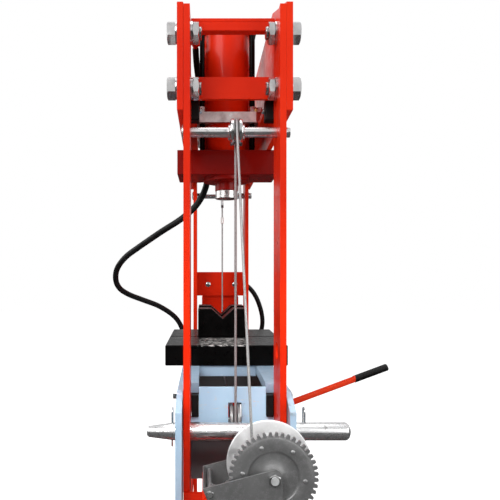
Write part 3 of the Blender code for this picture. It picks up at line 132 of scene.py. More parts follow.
class Shader:
    """A node material, with short calls for the textures that the finishes share."""

    def __init__(self, name):
        self.material = bpy.data.materials.new(name)
        self.material.use_nodes = True
        self.tree = self.material.node_tree
        self.main = self.tree.nodes["Principled BSDF"]
        self.place = self.add("ShaderNodeTexCoord").outputs["Object"]

    def add(self, kind, **settings):
        node = self.tree.nodes.new(kind)
        for key, value in settings.items():
            setattr(node, key, value)
        return node

    def link(self, source, target):
        self.tree.links.new(source, target)

    def stretched(self, scale):
        """The object's coordinates, scaled unevenly."""
        mapping = self.add("ShaderNodeMapping")
        mapping.inputs["Scale"].default_value = scale
        self.link(self.place, mapping.inputs["Vector"])
        return mapping.outputs["Vector"]

    def noise(self, scale, detail=4.0, rough=0.55, vector=None):
        node = self.add("ShaderNodeTexNoise")
        node.inputs["Scale"].default_value = scale
        node.inputs["Detail"].default_value = detail
        node.inputs["Roughness"].default_value = rough
        self.link(vector or self.place, node.inputs["Vector"])
        return node.outputs["Fac"]

    def cells(self, scale):
        node = self.add("ShaderNodeTexVoronoi")
        node.inputs["Scale"].default_value = scale
        self.link(self.place, node.inputs["Vector"])
        return node.outputs["Distance"]

    def split(self):
        """The object's coordinates, one by one."""
        node = self.add("ShaderNodeSeparateXYZ")
        self.link(self.place, node.inputs["Vector"])
        return node.outputs

    def fit(self, source, low, high, to_low=0.0, to_high=1.0):
        """Maps low..high onto to_low..to_high, clamped."""
        node = self.add("ShaderNodeMapRange")
        node.inputs["From Min"].default_value = low
        node.inputs["From Max"].default_value = high
        node.inputs["To Min"].default_value = to_low
        node.inputs["To Max"].default_value = to_high
        self.link(source, node.inputs["Value"])
        return node.outputs["Result"]

    def times(self, a, b):
        node = self.add("ShaderNodeMath", operation="MULTIPLY", use_clamp=True)
        self.link(a, node.inputs[0])
        self.link(b, node.inputs[1])
        return node.outputs["Value"]

    def mixed(self, share, first, second):
        """A colour between two, each a colour or another colour output."""
        node = self.add("ShaderNodeMix", data_type="RGBA")
        self.link(share, node.inputs[MIX_SHARE])
        for socket, value in ((node.inputs[MIX_FIRST], first), (node.inputs[MIX_SECOND], second)):
            if isinstance(value, tuple):
                socket.default_value = (*value, 1.0)
            else:
                self.link(value, socket)
        return node.outputs[MIX_COLOUR]

    def bump(self, height, strength, distance, normal=None):
        node = self.add("ShaderNodeBump")
        node.inputs["Strength"].default_value = strength
        node.inputs["Distance"].default_value = distance
        self.link(height, node.inputs["Height"])
        if normal is not None:
            self.link(normal, node.inputs["Normal"])
        return node.outputs["Normal"]

    def finish(self, colour, roughness, normal=None, metallic=0.0, coat=0.0, coat_rough=0.1,
               specular=0.5):
        inputs = self.main.inputs
        self.link(colour, inputs["Base Color"])
        self.link(roughness, inputs["Roughness"])
        if normal is not None:
            self.link(normal, inputs["Normal"])
        inputs["Metallic"].default_value = metallic
        inputs["Coat Weight"].default_value = coat
        inputs["Coat Roughness"].default_value = coat_rough
        inputs["Specular IOR Level"].default_value = specular
        return self.material


def paint(name, colour, deep):
    """Sprayed gloss paint: cloudy tone, orange peel and a few dust specks."""
    s = Shader(name)
    cloud = s.fit(s.noise(3.2, 5.0), 0.35, 0.68)
    tone = s.mixed(cloud, deep, colour)
    specks = s.fit(s.cells(190.0), 0.045, 0.02)
    speck_area = s.fit(s.noise(5.0, 2.0), 0.62, 0.70)
    dust = tuple(c * 0.55 + 0.05 for c in colour)
    tone = s.mixed(s.times(specks, speck_area), tone, dust)
    roughness = s.fit(s.noise(38.0, 4.0), 0.3, 0.7, 0.27, 0.44)
    peel = s.bump(s.noise(420.0, 2.0), 0.10, 0.0006)
    normal = s.bump(s.noise(26.0, 3.0), 0.10, 0.002, peel)
    return s.finish(tone, roughness, normal, coat=0.10, coat_rough=0.06, specular=0.10)


def zinc(name, light, dark, rough, spangle):
    """Bright zinc plate: spangled grains, a cloudy tone and fine scratches."""
    s = Shader(name)
    grain = s.fit(s.cells(spangle), 0.15, 0.65)
    cloud = s.fit(s.noise(22.0, 5.0, 0.6), 0.35, 0.66)
    tone = s.mixed(s.times(grain, cloud), light, dark)
    lines = s.noise(60.0, 3.0, 0.6, s.stretched((1.0, 9.0, 1.0)))
    roughness = s.fit(s.noise(45.0, 4.0), 0.3, 0.7, rough - 0.08, rough + 0.14)
    normal = s.bump(lines, 0.05, 0.0005, s.bump(s.noise(240.0, 3.0), 0.05, 0.0004))
    return s.finish(tone, roughness, normal, metallic=0.95)


def drawn_zinc(name):
    """Bright plated bar: long streaks across the press, over a soft cloudy tone."""
    s = Shader(name)
    streaks = s.noise(60.0, 4.0, 0.6, s.stretched((2.2, 0.25, 2.2)))
    cloud = s.fit(s.noise(9.0, 4.0), 0.35, 0.7)
    tone = s.mixed(s.fit(streaks, 0.35, 0.65), (0.86,) * 3, (0.60,) * 3)
    spots = s.times(cloud, s.fit(s.noise(75.0, 4.0, 0.7), 0.56, 0.64))
    tone = s.mixed(spots, tone, (0.20, 0.19, 0.18))
    roughness = s.fit(streaks, 0.3, 0.7, 0.20, 0.34)
    return s.finish(tone, roughness, s.bump(streaks, 0.10, 0.0006), metallic=0.95)


def cast_zinc(name):
    """Dull galvanised pressing: even grey with a fine bright grain."""
    s = Shader(name)
    grain = s.fit(s.noise(520.0, 3.0, 0.7), 0.40, 0.62)
    cloud = s.fit(s.noise(16.0, 4.0), 0.3, 0.7)
    tone = s.mixed(cloud, (0.20, 0.20, 0.20), (0.26, 0.26, 0.26))
    tone = s.mixed(s.times(grain, s.fit(s.noise(90.0, 3.0), 0.45, 0.60)), tone, (0.30, 0.30, 0.30))
    roughness = s.fit(s.noise(300.0, 3.0), 0.3, 0.7, 0.34, 0.52)
    return s.finish(tone, roughness, s.bump(s.noise(420.0, 3.0), 0.16, 0.0005), metallic=0.72)


def turned_steel(name):
    """Ground steel with turning marks round the Z axis and rust-brown spots."""
    s = Shader(name)
    rings = s.noise(90.0, 3.0, 0.6, s.stretched((0.4, 0.4, 14.0)))
    spots = s.fit(s.noise(48.0, 5.0, 0.7), 0.60, 0.68)
    tone = s.mixed(s.fit(rings, 0.3, 0.7), (0.36, 0.35, 0.34), (0.66, 0.65, 0.64))
    tone = s.mixed(spots, tone, (0.055, 0.035, 0.03))
    roughness = s.fit(rings, 0.3, 0.7, 0.16, 0.34)
    return s.finish(tone, roughness, s.bump(rings, 0.22, 0.0006), metallic=0.95)


def black_steel(name, worn=None):
    """Black oiled steel; worn is the low and high corner of a rubbed patch."""
    s = Shader(name)
    cloud = s.fit(s.noise(14.0, 5.0, 0.6), 0.35, 0.70)
    tone = s.mixed(cloud, (0.0008, 0.0008, 0.0008), (0.0035, 0.003, 0.003))
    roughness = s.fit(s.noise(60.0, 4.0), 0.3, 0.7, 0.24, 0.40)
    normal = s.bump(s.noise(170.0, 4.0), 0.12, 0.0006)
    if worn:
        low, high = worn
        place = s.split()
        edge = 0.02
        patch = s.times(
            s.times(s.fit(place["X"], low.x, low.x + edge),
                    s.fit(place["X"], high.x, high.x - edge)),
            s.times(s.fit(place["Y"], low.y, low.y + edge),
                    s.fit(place["Y"], high.y, high.y - edge)),
        )
        top = s.fit(place["Z"], low.z, high.z)
        scuffs = s.fit(s.noise(120.0, 5.0, 0.75, s.stretched((1.0, 0.6, 1.0))), 0.50, 0.58)
        bare = s.times(s.times(patch, top), scuffs)
        tone = s.mixed(bare, tone, (0.62, 0.60, 0.58))
    return s.finish(tone, roughness, normal, specular=0.06)


def rubber(name):
    """Black rubber with a fine grain."""
    s = Shader(name)
    tone = s.mixed(s.fit(s.noise(30.0, 4.0), 0.35, 0.7), (0.004,) * 3, (0.0104,) * 3)
    roughness = s.fit(s.noise(70.0, 3.0), 0.3, 0.7, 0.37, 0.57)
    return s.finish(tone, roughness, s.bump(s.noise(360.0, 3.0), 0.22, 0.0004), specular=0.16)


def wire_rope(name):
    """Galvanised wires: fine bright and dark lines across each strand."""
    s = Shader(name)
    fine = s.noise(900.0, 2.0, 0.6)
    tone = s.mixed(s.fit(fine, 0.30, 0.70), (0.16, 0.16, 0.16), (0.46, 0.46, 0.46))
    roughness = s.fit(s.noise(120.0, 3.0), 0.3, 0.7, 0.32, 0.50)
    return s.finish(tone, roughness, s.bump(fine, 0.15, 0.0003), metallic=0.35)


def brass(name):
    """Dull yellow brass."""
    s = Shader(name)
    tone = s.mixed(s.fit(s.noise(60.0, 4.0), 0.35, 0.7), (0.72, 0.45, 0.16), (0.50, 0.28, 0.09))
    return s.finish(tone, s.fit(s.noise(90.0), 0.3, 0.7, 0.22, 0.40), metallic=0.9)


BED_FLANGE_IN = 0.0345      # from a bed side's box to its inner face


def bed_hollow_shade(s):
    """One where the surface lies in the bed's hollow, where a dark brown is painted as shade."""
    low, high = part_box("bed_left_end")[1].x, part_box("bed_right_end")[0].x
    place = s.split()
    edge = 0.0005
    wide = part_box("bed_back_side")[0].y + BED_FLANGE_IN
    along = s.times(s.fit(place["X"], low - 2 * edge, low - edge),
                    s.fit(place["X"], high + 2 * edge, high + edge))
    across = s.times(s.fit(place["Y"], -wide, -wide + edge),
                     s.fit(place["Y"], wide, wide - edge))
    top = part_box("bed_left_crossbar")[0].z
    below = s.fit(place["Z"], top - edge, top - 2 * edge)
    return s.times(s.times(along, across), below)


def bed_paint(name, deep, light, shade_below=None):
    """Blue-grey paint with scuffs and brownish dirt, painted dark-brown shade in the bed's hollow,
    and painted grey-brown shade below a height.
    """
    s = Shader(name)
    cloud = s.fit(s.noise(6.0, 5.0, 0.6), 0.35, 0.70)
    tone = s.mixed(cloud, deep, light)
    scuffs = s.fit(s.noise(30.0, 6.0, 0.7, s.stretched((1.0, 1.0, 3.0))), 0.60, 0.70)
    tone = s.mixed(scuffs, tone, (0.66, 0.70, 0.74))
    dirt = s.fit(s.noise(11.0, 6.0, 0.7), 0.63, 0.76)
    tone = s.mixed(dirt, tone, (0.20, 0.17, 0.15))
    # painted shade: dark brown over the bed's hollow
    tone = s.mixed(bed_hollow_shade(s), tone, (0.050, 0.030, 0.022))
    # painted shade: grey-brown below the given height, under the bed pin
    if shade_below is not None:
        low = s.fit(s.split()["Z"], shade_below + 0.001, shade_below - 0.001)
        tone = s.mixed(low, tone, (0.115, 0.125, 0.13))
    roughness = s.fit(s.noise(34.0, 4.0), 0.3, 0.7, 0.28, 0.46)
    normal = s.bump(s.noise(300.0, 3.0), 0.12, 0.0006)
    return s.finish(tone, roughness, normal, coat=0.2, coat_rough=0.2)


GRIP_LENGTH = 0.148


def handle_paint():
    """Orange-red enamel on the handle's tube and ribbed black rubber on its grip."""
    s = Shader("handle_enamel")
    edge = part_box("pump_handle")[0].y + GRIP_LENGTH
    grip = s.fit(s.split()["Y"], edge + 0.001, edge - 0.001)
    cloud = s.fit(s.noise(8.0, 4.0), 0.35, 0.7)
    red = s.mixed(cloud, (0.92, 0.060, 0.012), (0.78, 0.038, 0.010))
    black = s.mixed(cloud, (0.003,) * 3, (0.010,) * 3)
    wave = s.add("ShaderNodeTexWave", bands_direction="Y")
    wave.inputs["Scale"].default_value = 26.0
    s.link(s.place, wave.inputs["Vector"])
    ribs = s.times(wave.outputs["Fac"], grip)
    normal = s.bump(ribs, 0.6, 0.0015, s.bump(s.noise(260.0, 3.0), 0.10, 0.0005))
    roughness = s.fit(grip, 0.0, 1.0, 0.30, 0.52)
    return s.finish(s.mixed(grip, red, black), roughness, normal, coat=0.1, specular=0.15)


def make_materials():
    """Every finish, by the name that the pieces use."""
    plate_low, plate_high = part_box("left_press_plate")
    worn_low = Vector((plate_low.x - 0.02, -0.070, plate_high.z - 0.004))
    worn_high = Vector((plate_high.x - 0.03, 0.090, plate_high.z - 0.001))
    return {
        "red_paint": paint("red_gloss", (0.74, 0.026, 0.003), (0.60, 0.015, 0.002)),
        "dark_red_paint": paint("dark_red_gloss", (0.28, 0.004, 0.001), (0.17, 0.002, 0.001)),
        "blue_grey_paint": bed_paint("blue_grey_gloss", (0.29, 0.42, 0.55), (0.40, 0.53, 0.66)),
        # bed ends: a lighter copy of the blue-grey paint, brightened as painted light on their
        # shaded, recessed faces, with painted shade below the bed pin's height
        "bed_end_paint": bed_paint("bed_end_lit_gloss", (0.46, 0.72, 0.93), (0.56, 0.82, 0.99),
                                   middle("left_bed_pin").z),
        "zinc_plate": zinc("zinc", (0.60,) * 3, (0.42,) * 3, 0.15, 40.0),
        "bare_steel": turned_steel("ground_steel"),
        "black_oxide": black_steel("black_steel"),
        "worn_plate": black_steel("worn_black_steel", (worn_low, worn_high)),
        "black_rubber": rubber("rubber"),
        "steel_rope": wire_rope("galvanised_rope"),
        "mottled_zinc": zinc("mottled_zinc", (0.80, 0.80, 0.79), (0.48, 0.47, 0.46), 0.34,
                             60.0),
        "brass": brass("brass"),
        "cast_zinc": cast_zinc("cast_zinc"),
        "bright_flange": zinc("bright_flange", (0.95,) * 3, (0.86,) * 3, 0.50, 160.0),
        "drawn_zinc": drawn_zinc("drawn_zinc"),
        "handle_paint": handle_paint(),
    }


# ---- mesh helpers -------------------------------------------------------------------------
def round_edges(made, width, angle):
    """Rounds the edges sharper than an angle in degrees."""
    edges = made.modifiers.new("edges", "BEVEL")
    edges.width = width
    edges.segments = 2
    edges.limit_method = "ANGLE"
    edges.angle_limit = radians(angle)
    edges.harden_normals = True


def place_piece(name, bm, look, body, replaces=None, smooth=32.0, bevel=0.0):
    """A finished piece, riding on its body."""
    bmesh.ops.recalc_face_normals(bm, faces=bm.faces)
    mesh = bpy.data.meshes.new(name)
    bm.to_mesh(mesh)
    bm.free()
    mesh.shade_smooth()
    mesh.set_sharp_from_angle(angle=radians(smooth))
    mesh.materials.append(LOOKS[look])
    made = bpy.data.objects.new(name, mesh)
    bpy.context.scene.collection.objects.link(made)
    if bevel:
        round_edges(made, bevel, 30)
    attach(made, body)
    if replaces:
        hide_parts(replaces)
    return made


def directions(axis):
    """The two directions across an axis, and the axis."""
    return {
        "X": (Vector((0, 1, 0)), Vector((0, 0, 1)), Vector((1, 0, 0))),
        "Y": (Vector((1, 0, 0)), Vector((0, 0, 1)), Vector((0, 1, 0))),
        "Z": (Vector((1, 0, 0)), Vector((0, 1, 0)), Vector((0, 0, 1))),
    }[axis]


def join(bm, near, far):
    """Faces between two rings of equal count."""
    count = len(near)
    for i in range(count):
        j = (i + 1) % count
        bm.faces.new((near[i], near[j], far[j], far[i]))


def loft(bm, rings):
    """Closed skin over rings of equal count, capped at both ends."""
    made = [[bm.verts.new(p) for p in points] for points in rings]
    for near, far in zip(made, made[1:]):
        join(bm, near, far)
    bm.faces.new(made[0])
    bm.faces.new(list(reversed(made[-1])))


def bored(bm, rings):
    """A skin over rings that runs back down its bore to the first ring."""
    made = [[bm.verts.new(p) for p in points] for points in rings]
    for near, far in zip(made, made[1:] + made[:1]):
        join(bm, near, far)


RING_STEPS = 48
CHAMFER_FALL = 0.58         # drop of a hexagon's chamfer per unit outward, tan 30 degrees


def ring(centre, axis, radius, place, steps=RING_STEPS, shape=None):
    """A ring across an axis; shape gives the radius at an angle instead of a circle."""
    across, up, along = directions(axis)
    points = []
    for i in range(steps):
        turn = 2 * pi * i / steps
        r = shape(turn) if shape else radius
        points.append(centre + along * place + across * (r * cos(turn)) + up * (r * sin(turn)))
    return points


def turned(bm, centre, axis, profile, steps):
    """A turned solid; profile is (radius, place along the axis from the centre)."""
    loft(bm, [ring(centre, axis, r, place, steps) for r, place in profile])


def hex_shape(flats):
    """The radius of a hexagon at an angle."""
    def radius(turn):
        return flats / 2 / cos((turn + pi / 6) % (pi / 3) - pi / 6)
    return radius


def hex_rings(centre, axis, flats, start, end, both=False):
    """Rings of a hexagon whose end, or both ends, is chamfered by a cone."""
    step = 1 if end > start else -1
    face = flats / 2 * 0.96
    across, up, along = directions(axis)
    shape = hex_shape(flats)

    def edge(place, inward):
        points = []
        for i in range(RING_STEPS):
            turn = 2 * pi * i / RING_STEPS
            r = shape(turn)
            fall = (r - face) * CHAMFER_FALL
            points.append(centre + along * (place + inward * fall) + across * (r * cos(turn))
                          + up * (r * sin(turn)))
        return points

    if both:
        first = [ring(centre, axis, face, start), edge(start, step)]
    else:
        first = [ring(centre, axis, 0, start, shape=shape)]
    return [*first, edge(end, -step), ring(centre, axis, face, end)]


def block(bm, low, high):
    """A box between two corners."""
    corners = ((low[0], low[1]), (high[0], low[1]), (high[0], high[1]), (low[0], high[1]))
    loft(bm, [[Vector((x, y, z)) for x, y in corners] for z in (low[2], high[2])])


def soften(node, look, width):
    """The node's own solid with its triangles merged and its edges rounded."""
    source = frame["nodes"][node]
    bm = bmesh.new()
    bm.from_mesh(source.data)
    bmesh.ops.remove_doubles(bm, verts=bm.verts, dist=1e-6)
    bmesh.ops.dissolve_limit(bm, angle_limit=radians(0.5), verts=bm.verts, edges=bm.edges)
    made = place_piece(f"{node}_shell", bm, look, source["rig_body"], node)
    round_edges(made, width, 35)


def smooth_path(points, count):
    """A Catmull-Rom curve through the points, read at count evenly spaced places."""
    knots = [Vector(p) for p in points]
    knots = [2 * knots[0] - knots[1], *knots, 2 * knots[-1] - knots[-2]]
    fine = []
    for a, b, c, d in zip(knots, knots[1:], knots[2:], knots[3:]):
        for i in range(40):
            t = i / 40
            fine.append(0.5 * (2 * b + (c - a) * t + (2 * a - 5 * b + 4 * c - d) * t ** 2
                               + (3 * b - a - 3 * c + d) * t ** 3))
    fine.append(knots[-2])
    return evenly(fine, count)


def evenly(points, count):
    """The same line, read at count evenly spaced places."""
    lengths = [0.0]
    for a, b in zip(points, points[1:]):
        lengths.append(lengths[-1] + (b - a).length)
    even = []
    index = 0
    for k in range(count):
        wanted = lengths[-1] * k / (count - 1)
        while index < len(points) - 2 and lengths[index + 1] < wanted:
            index += 1
        span = lengths[index + 1] - lengths[index]
        share = (wanted - lengths[index]) / span if span else 0.0
        even.append(points[index].lerp(points[index + 1], min(share, 1.0)))
    return even


def length_of(points):
    """The length of a line of points."""
    return sum((b - a).length for a, b in zip(points, points[1:]))


def sweep(bm, points, section, sides):
    """A skin along a line; section(angle, distance) gives the radius."""
    rings = []
    side = None
    walked = 0.0
    for i, point in enumerate(points):
        ahead = points[min(i + 1, len(points) - 1)] - points[max(i - 1, 0)]
        tangent = ahead.normalized()
        if side is None:
            side = tangent.orthogonal().normalized()
        side = (side - tangent * side.dot(tangent)).normalized()
        other = tangent.cross(side)
        if i:
            walked += (point - points[i - 1]).length
        ring_points = []
        for k in range(sides):
            turn = 2 * pi * k / sides
            r = section(turn, walked)
            ring_points.append(point + side * (r * cos(turn)) + other * (r * sin(turn)))
        rings.append(ring_points)
    loft(bm, rings)


ROPE_RADIUS = 0.003
ROPE_LAY = 0.022            # length of one full twist
ROPE_STRANDS = 6
ROPE_STEP = 0.0022          # distance between a rope's rings


def strand_section(radius):
    """The section of a rope whose strands twist along it."""
    def section(turn, walked):
        phase = ROPE_STRANDS * (turn - 2 * pi * walked / ROPE_LAY)
        return radius * (0.86 + 0.14 * abs(cos(phase / 2)))
    return section


def rope(name, points, body, replaces):
    """A laid wire rope of twisted strands."""
    bm = bmesh.new()
    count = int(length_of(points) / ROPE_STEP)
    sweep(bm, evenly(points, count), strand_section(ROPE_RADIUS), 36)
    return place_piece(name, bm, "steel_rope", body, replaces=replaces, smooth=60)


# ---- hose ---------------------------------------------------------------------------------
PORT_Z = 1.842
HOSE_RADIUS = 0.010
HOSE_NECK = 0.018           # length of the narrower neck at each end
HOSE_NECK_RADIUS = 0.007
HOSE_GAP = 0.0003           # between the hose and what it screws into
HOSE_START = (-0.085, 0.094, PORT_Z)
HOSE_SPLIT = (0.077, 0.283, 1.238)
HOSE_END = (0.630, -0.0855, 1.0955)
HOSE_UPPER_ROUTE = (
    HOSE_START, (-0.066, 0.094, PORT_Z), (-0.040, 0.093, 1.827), (-0.021, 0.090, 1.797),
    (-0.013, 0.082, 1.740), (-0.010, 0.070, 1.660), (-0.009, 0.062, 1.580), (-0.008, 0.056, 1.500),
    (-0.006, 0.060, 1.432), (-0.002, 0.088, 1.372), (0.004, 0.138, 1.325), (0.030, 0.211, 1.281),
    HOSE_SPLIT,
)
HOSE_LOWER_ROUTE = (
    HOSE_SPLIT, (0.122, 0.338, 1.203), (0.160, 0.374, 1.163), (0.203, 0.386, 1.122),
    (0.246, 0.378, 1.090), (0.288, 0.350, 1.066), (0.332, 0.307, 1.045), (0.387, 0.242, 1.014),
    (0.440, 0.184, 0.966), (0.492, 0.156, 0.905), (0.560, 0.155, 0.845), (0.640, 0.144, 0.803),
    (0.712, 0.108, 0.778), (0.750, 0.030, 0.764), (0.752, -0.058, 0.774), (0.724, -0.137, 0.812),
    (0.684, -0.180, 0.868), (0.657, -0.191, 0.930), (0.642, -0.178, 0.998),
    (0.633, -0.150, 1.058), (0.630, -0.112, HOSE_END[2]), HOSE_END,
)


def make_hose():
    """The hydraulic hose, narrowed at its ends."""
    upper = smooth_path([at(*p) for p in HOSE_UPPER_ROUTE], 120)
    lower = smooth_path([at(*p) for p in HOSE_LOWER_ROUTE], 240)
    route = evenly(upper + lower[1:], 340)
    route[0] += Vector((HOSE_GAP, 0, 0))
    route[-1] -= Vector((0, HOSE_GAP, 0))
    total = length_of(route)

    def width(turn, walked):
        at_end = min(walked, total - walked) < HOSE_NECK
        return HOSE_NECK_RADIUS if at_end else HOSE_RADIUS

    bm = bmesh.new()
    sweep(bm, route, width, 20)
    mesh = bpy.data.meshes.new("hose")
    bmesh.ops.recalc_face_normals(bm, faces=bm.faces)
    bm.to_mesh(mesh)
    bm.free()
    mesh.shade_smooth()
    mesh.set_sharp_from_angle(angle=radians(40))
    mesh.materials.append(LOOKS["black_rubber"])
    hose = bpy.data.objects.new("hose", mesh)
    bpy.context.scene.collection.objects.link(hose)
    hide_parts("hose_upper", "hose_lower")
    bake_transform(hose)


# ---- fasteners ----------------------------------------------------------------------------
HEAD_FLATS = 0.046
HEAD_THICK = 0.019
WASHER_RADIUS = 0.027
WASHER_THICK = 0.005
BOLT_RADIUS = 0.015
NUT_THICK = 0.0145
SMALL_WASHER_RADIUS = 0.0105
THREAD_LENGTH = 0.0255      # from the bar to the bolt's inner end


def thread(centre, axis, radius, start, end, pitch):
    """Rings of crests and roots from start to end."""
    rings = []
    turns = int(abs(end - start) / pitch)
    for i in range(turns):
        near = start + (end - start) * i / turns
        half = start + (end - start) * (i + 0.5) / turns
        rings.append(ring(centre, axis, radius * 0.90, near))
        rings.append(ring(centre, axis, radius, half))
    rings.append(ring(centre, axis, radius * 0.86, end))
    return rings


def bolt_head(bm, centre, face, seat, outer):
    """A hexagon head with a stamped ring on top, a spring washer and a flat washer."""
    beam_face = seat - face * WASHER_THICK
    split = seat - face * WASHER_THICK * 0.5
    mark = HEAD_FLATS * 0.20
    profile = (
        (WASHER_RADIUS * 0.86, seat), (WASHER_RADIUS * 0.88, split + face * 0.0002),
        (WASHER_RADIUS * 0.80, split), (WASHER_RADIUS * 0.985, split),
        (WASHER_RADIUS, split - face * 0.0006), (WASHER_RADIUS, beam_face),
        (BOLT_RADIUS, beam_face),
    )
    loft(bm, [
        ring(centre, "Y", mark, outer - face * 0.0006),
        ring(centre, "Y", mark * 1.1, outer),
        *reversed(hex_rings(centre, "Y", HEAD_FLATS, seat, outer)),
        *[ring(centre, "Y", radius, place) for radius, place in profile],
    ])


def bolt_nut(bm, centre, face, inner):
    """A washer, a nut and the bolt's threaded end inside the column's bar."""
    bar_face = inner + face * THREAD_LENGTH
    seat = bar_face - face * WASHER_THICK
    end = seat - face * NUT_THICK
    loft(bm, [
        ring(centre, "Y", BOLT_RADIUS, bar_face),
        ring(centre, "Y", WASHER_RADIUS * 0.93, bar_face),
        ring(centre, "Y", WASHER_RADIUS * 0.93, seat),
        *hex_rings(centre, "Y", HEAD_FLATS, seat, end, both=True),
        *thread(centre, "Y", BOLT_RADIUS, end, inner, 0.0022),
    ])


def head_on_washer(name, body, axis, flats, centre, places):
    """A small hexagon head on a washer; places are the surface, the washer's top and the end."""
    surface, seat, end = places
    bm = bmesh.new()
    loft(bm, [
        ring(centre, axis, SMALL_WASHER_RADIUS, surface),
        ring(centre, axis, SMALL_WASHER_RADIUS, seat),
        *hex_rings(centre, axis, flats, seat, end),
    ])
    place_piece(name, bm, "zinc_plate", body)


def make_beam_bolts():
    """The eight crosshead bolts with flat and spring washers, nuts and threads."""
    for _, side_name in SIDES:
        for face, face_name in FACES:
            for level in ("upper", "lower"):
                node = f"{side_name}_{face_name}_{level}_bolt"
                low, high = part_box(node)
                centre = (low + high) / 2
                centre.y = 0.0
                outer, inner = (high.y, low.y) if face > 0 else (low.y, high.y)
                bm = bmesh.new()
                bolt_head(bm, centre, face, outer - face * HEAD_THICK, outer)
                bolt_nut(bm, centre, face, inner)
                place_piece(f"{node}_set", bm, "zinc_plate", "frame", replaces=node)


def hex_nut(name, centre, axis, flats, start, end, body):
    """A zinc-plated nut, chamfered at both ends."""
    bm = bmesh.new()
    loft(bm, hex_rings(centre, axis, flats, start, end, both=True))
    place_piece(name, bm, "zinc_plate", body)


# ---- frame --------------------------------------------------------------------------------
STRIP_X = (0.4495, 0.4720)
STRIP_HALF = 0.0977


def make_top_strips():
    """A capping strip on each column's top spacer."""
    for side, name in SIDES:
        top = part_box(f"{name}_column")[1].z
        near, far = sorted(MID.x + side * x for x in STRIP_X)
        bm = bmesh.new()
        block(bm, (near, -STRIP_HALF, top - 0.0003), (far, STRIP_HALF, top + 0.0085))
        place_piece(f"{name}_top_strip", bm, "red_paint", "frame", bevel=0.0015)


def make_frame():
    """Columns, feet, tie bars and beams, painted red."""
    make_top_strips()
    for _, name in SIDES:
        soften(f"{name}_column", "red_paint", 0.0012)
        soften(f"{name}_foot", "red_paint", 0.0012)
    for _, name in FACES:
        soften(f"{name}_tie_bar", "red_paint", 0.0012)
        soften(f"{name}_beam", "red_paint", 0.0014)


# ---- crosshead ----------------------------------------------------------------------------
BUMPER = ((0.410, 0.446), (0.0785, 0.1120), (1.513, 1.5652))     # its X, Y and Z reach


def make_bumpers():
    """Rubber stops for the carriage at both ends of the beams."""
    for side, side_name in SIDES:
        for face, face_name in FACES:
            bm = bmesh.new()
            x0, x1 = (side * x for x in BUMPER[0])
            y0, y1 = (face * y for y in BUMPER[1])
            block(bm, at(x0, y0, BUMPER[2][0]), at(x1, y1, BUMPER[2][1]))
            name = f"bumper_{side_name}_{face_name}"
            place_piece(name, bm, "black_rubber", "frame", bevel=0.003)
            hex_nut(f"{name}_screw", at(side * 0.428, 0, 1.539), "Y", 0.013,
                    face * 0.0775, face * 0.0725, "frame")


NUT_BORE = 0.0078           # clear of the tie rods


def make_carriage_trim():
    """Tie-rod nuts, clamp screws and the brass bleed screw on the slide plate."""
    plate_low, plate_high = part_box("carriage_plate")
    top = plate_high.z + 0.0003
    mid_x = (plate_low.x + plate_high.x) / 2
    for i in (-1, 1):
        for j in (-1, 1):
            centre = Vector((mid_x + i * 0.052, j * 0.073, 0.0))
            seat = top + 0.0025
            end = top + 0.020
            bm = bmesh.new()
            bored(bm, [
                ring(centre, "Z", NUT_BORE, top), ring(centre, "Z", 0.0142, top),
                ring(centre, "Z", 0.0142, seat),
                *hex_rings(centre, "Z", 0.022, seat, end, both=True),
                ring(centre, "Z", NUT_BORE, end),
            ])
            place_piece(f"tie_rod_nut_{i + 1}{j + 1}", bm, "zinc_plate", "carriage")
    for i in (-1, 1):
        for j in (-1, 1):
            hex_nut(f"clamp_screw_{i + 1}{j + 1}",
                    Vector((mid_x + i * 0.066, j * 0.0915, 0.0)), "Z", 0.017,
                    top, top + 0.014, "carriage")
    bm = bmesh.new()
    turned(bm, Vector((plate_low.x + 0.010, -0.0815, 0.0)), "Z",
           [(0.0035, top), (0.0035, top + 0.005), (0.0045, top + 0.006),
            (0.0045, top + 0.009), (0.002, top + 0.010)], 24)
    place_piece("brass_screw", bm, "brass", "carriage")


def make_pulley():
    """The grooved top pulley with its cheeks, on its axle."""
    low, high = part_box("left_pulley")
    centre = (low + high) / 2
    half = (high.y - low.y) / 2
    r = (high.x - low.x) / 2
    centre_y = centre.y
    centre.y = 0.0
    groove = 0.0036
    bore = 0.0118
    profile = [
        (bore, -half), (r * 0.52, -half), (r * 0.56, -half + 0.0022), (r * 0.80, -half + 0.0026),
        (r * 0.86, -half + 0.0006), (r * 0.97, -half + 0.0006), (r, -half + 0.0022),
        (r, -groove - 0.0030), (r - 0.0034, -groove), (r - 0.0072, -groove * 0.62),
        (r - 0.0072, groove * 0.62), (r - 0.0034, groove), (r, groove + 0.0030),
        (r, half - 0.0022), (r * 0.97, half - 0.0006), (r * 0.86, half - 0.0006),
        (r * 0.80, half - 0.0026), (r * 0.56, half - 0.0022), (r * 0.52, half), (bore, half),
    ]
    bm = bmesh.new()
    bored(bm, [ring(centre, "Y", radius, centre_y + place, 64) for radius, place in profile])
    soften("left_pulley_axle", "drawn_zinc", 0.0008)
    place_piece("left_pulley_turned", bm, "zinc_plate", "left_pulley", replaces="left_pulley")


# ---- rope ---------------------------------------------------------------------------------
ROPE_Y = -0.006
AXLE_X = -0.502
AXLE_Z = 1.468
FALL_X = 0.474
FALL_TOPS = (AXLE_Z - 0.001, 1.4137)    # at the pulley and under the far drop link
FALL_BOTTOM = 0.801
PULLEY_LINE = 0.028         # radius of the rope's line over the pulley
DRUM_LINE = 0.0354          # radius of the rope's line on the drum
TURN_PITCH = 0.0064
TURN_STEPS = 40


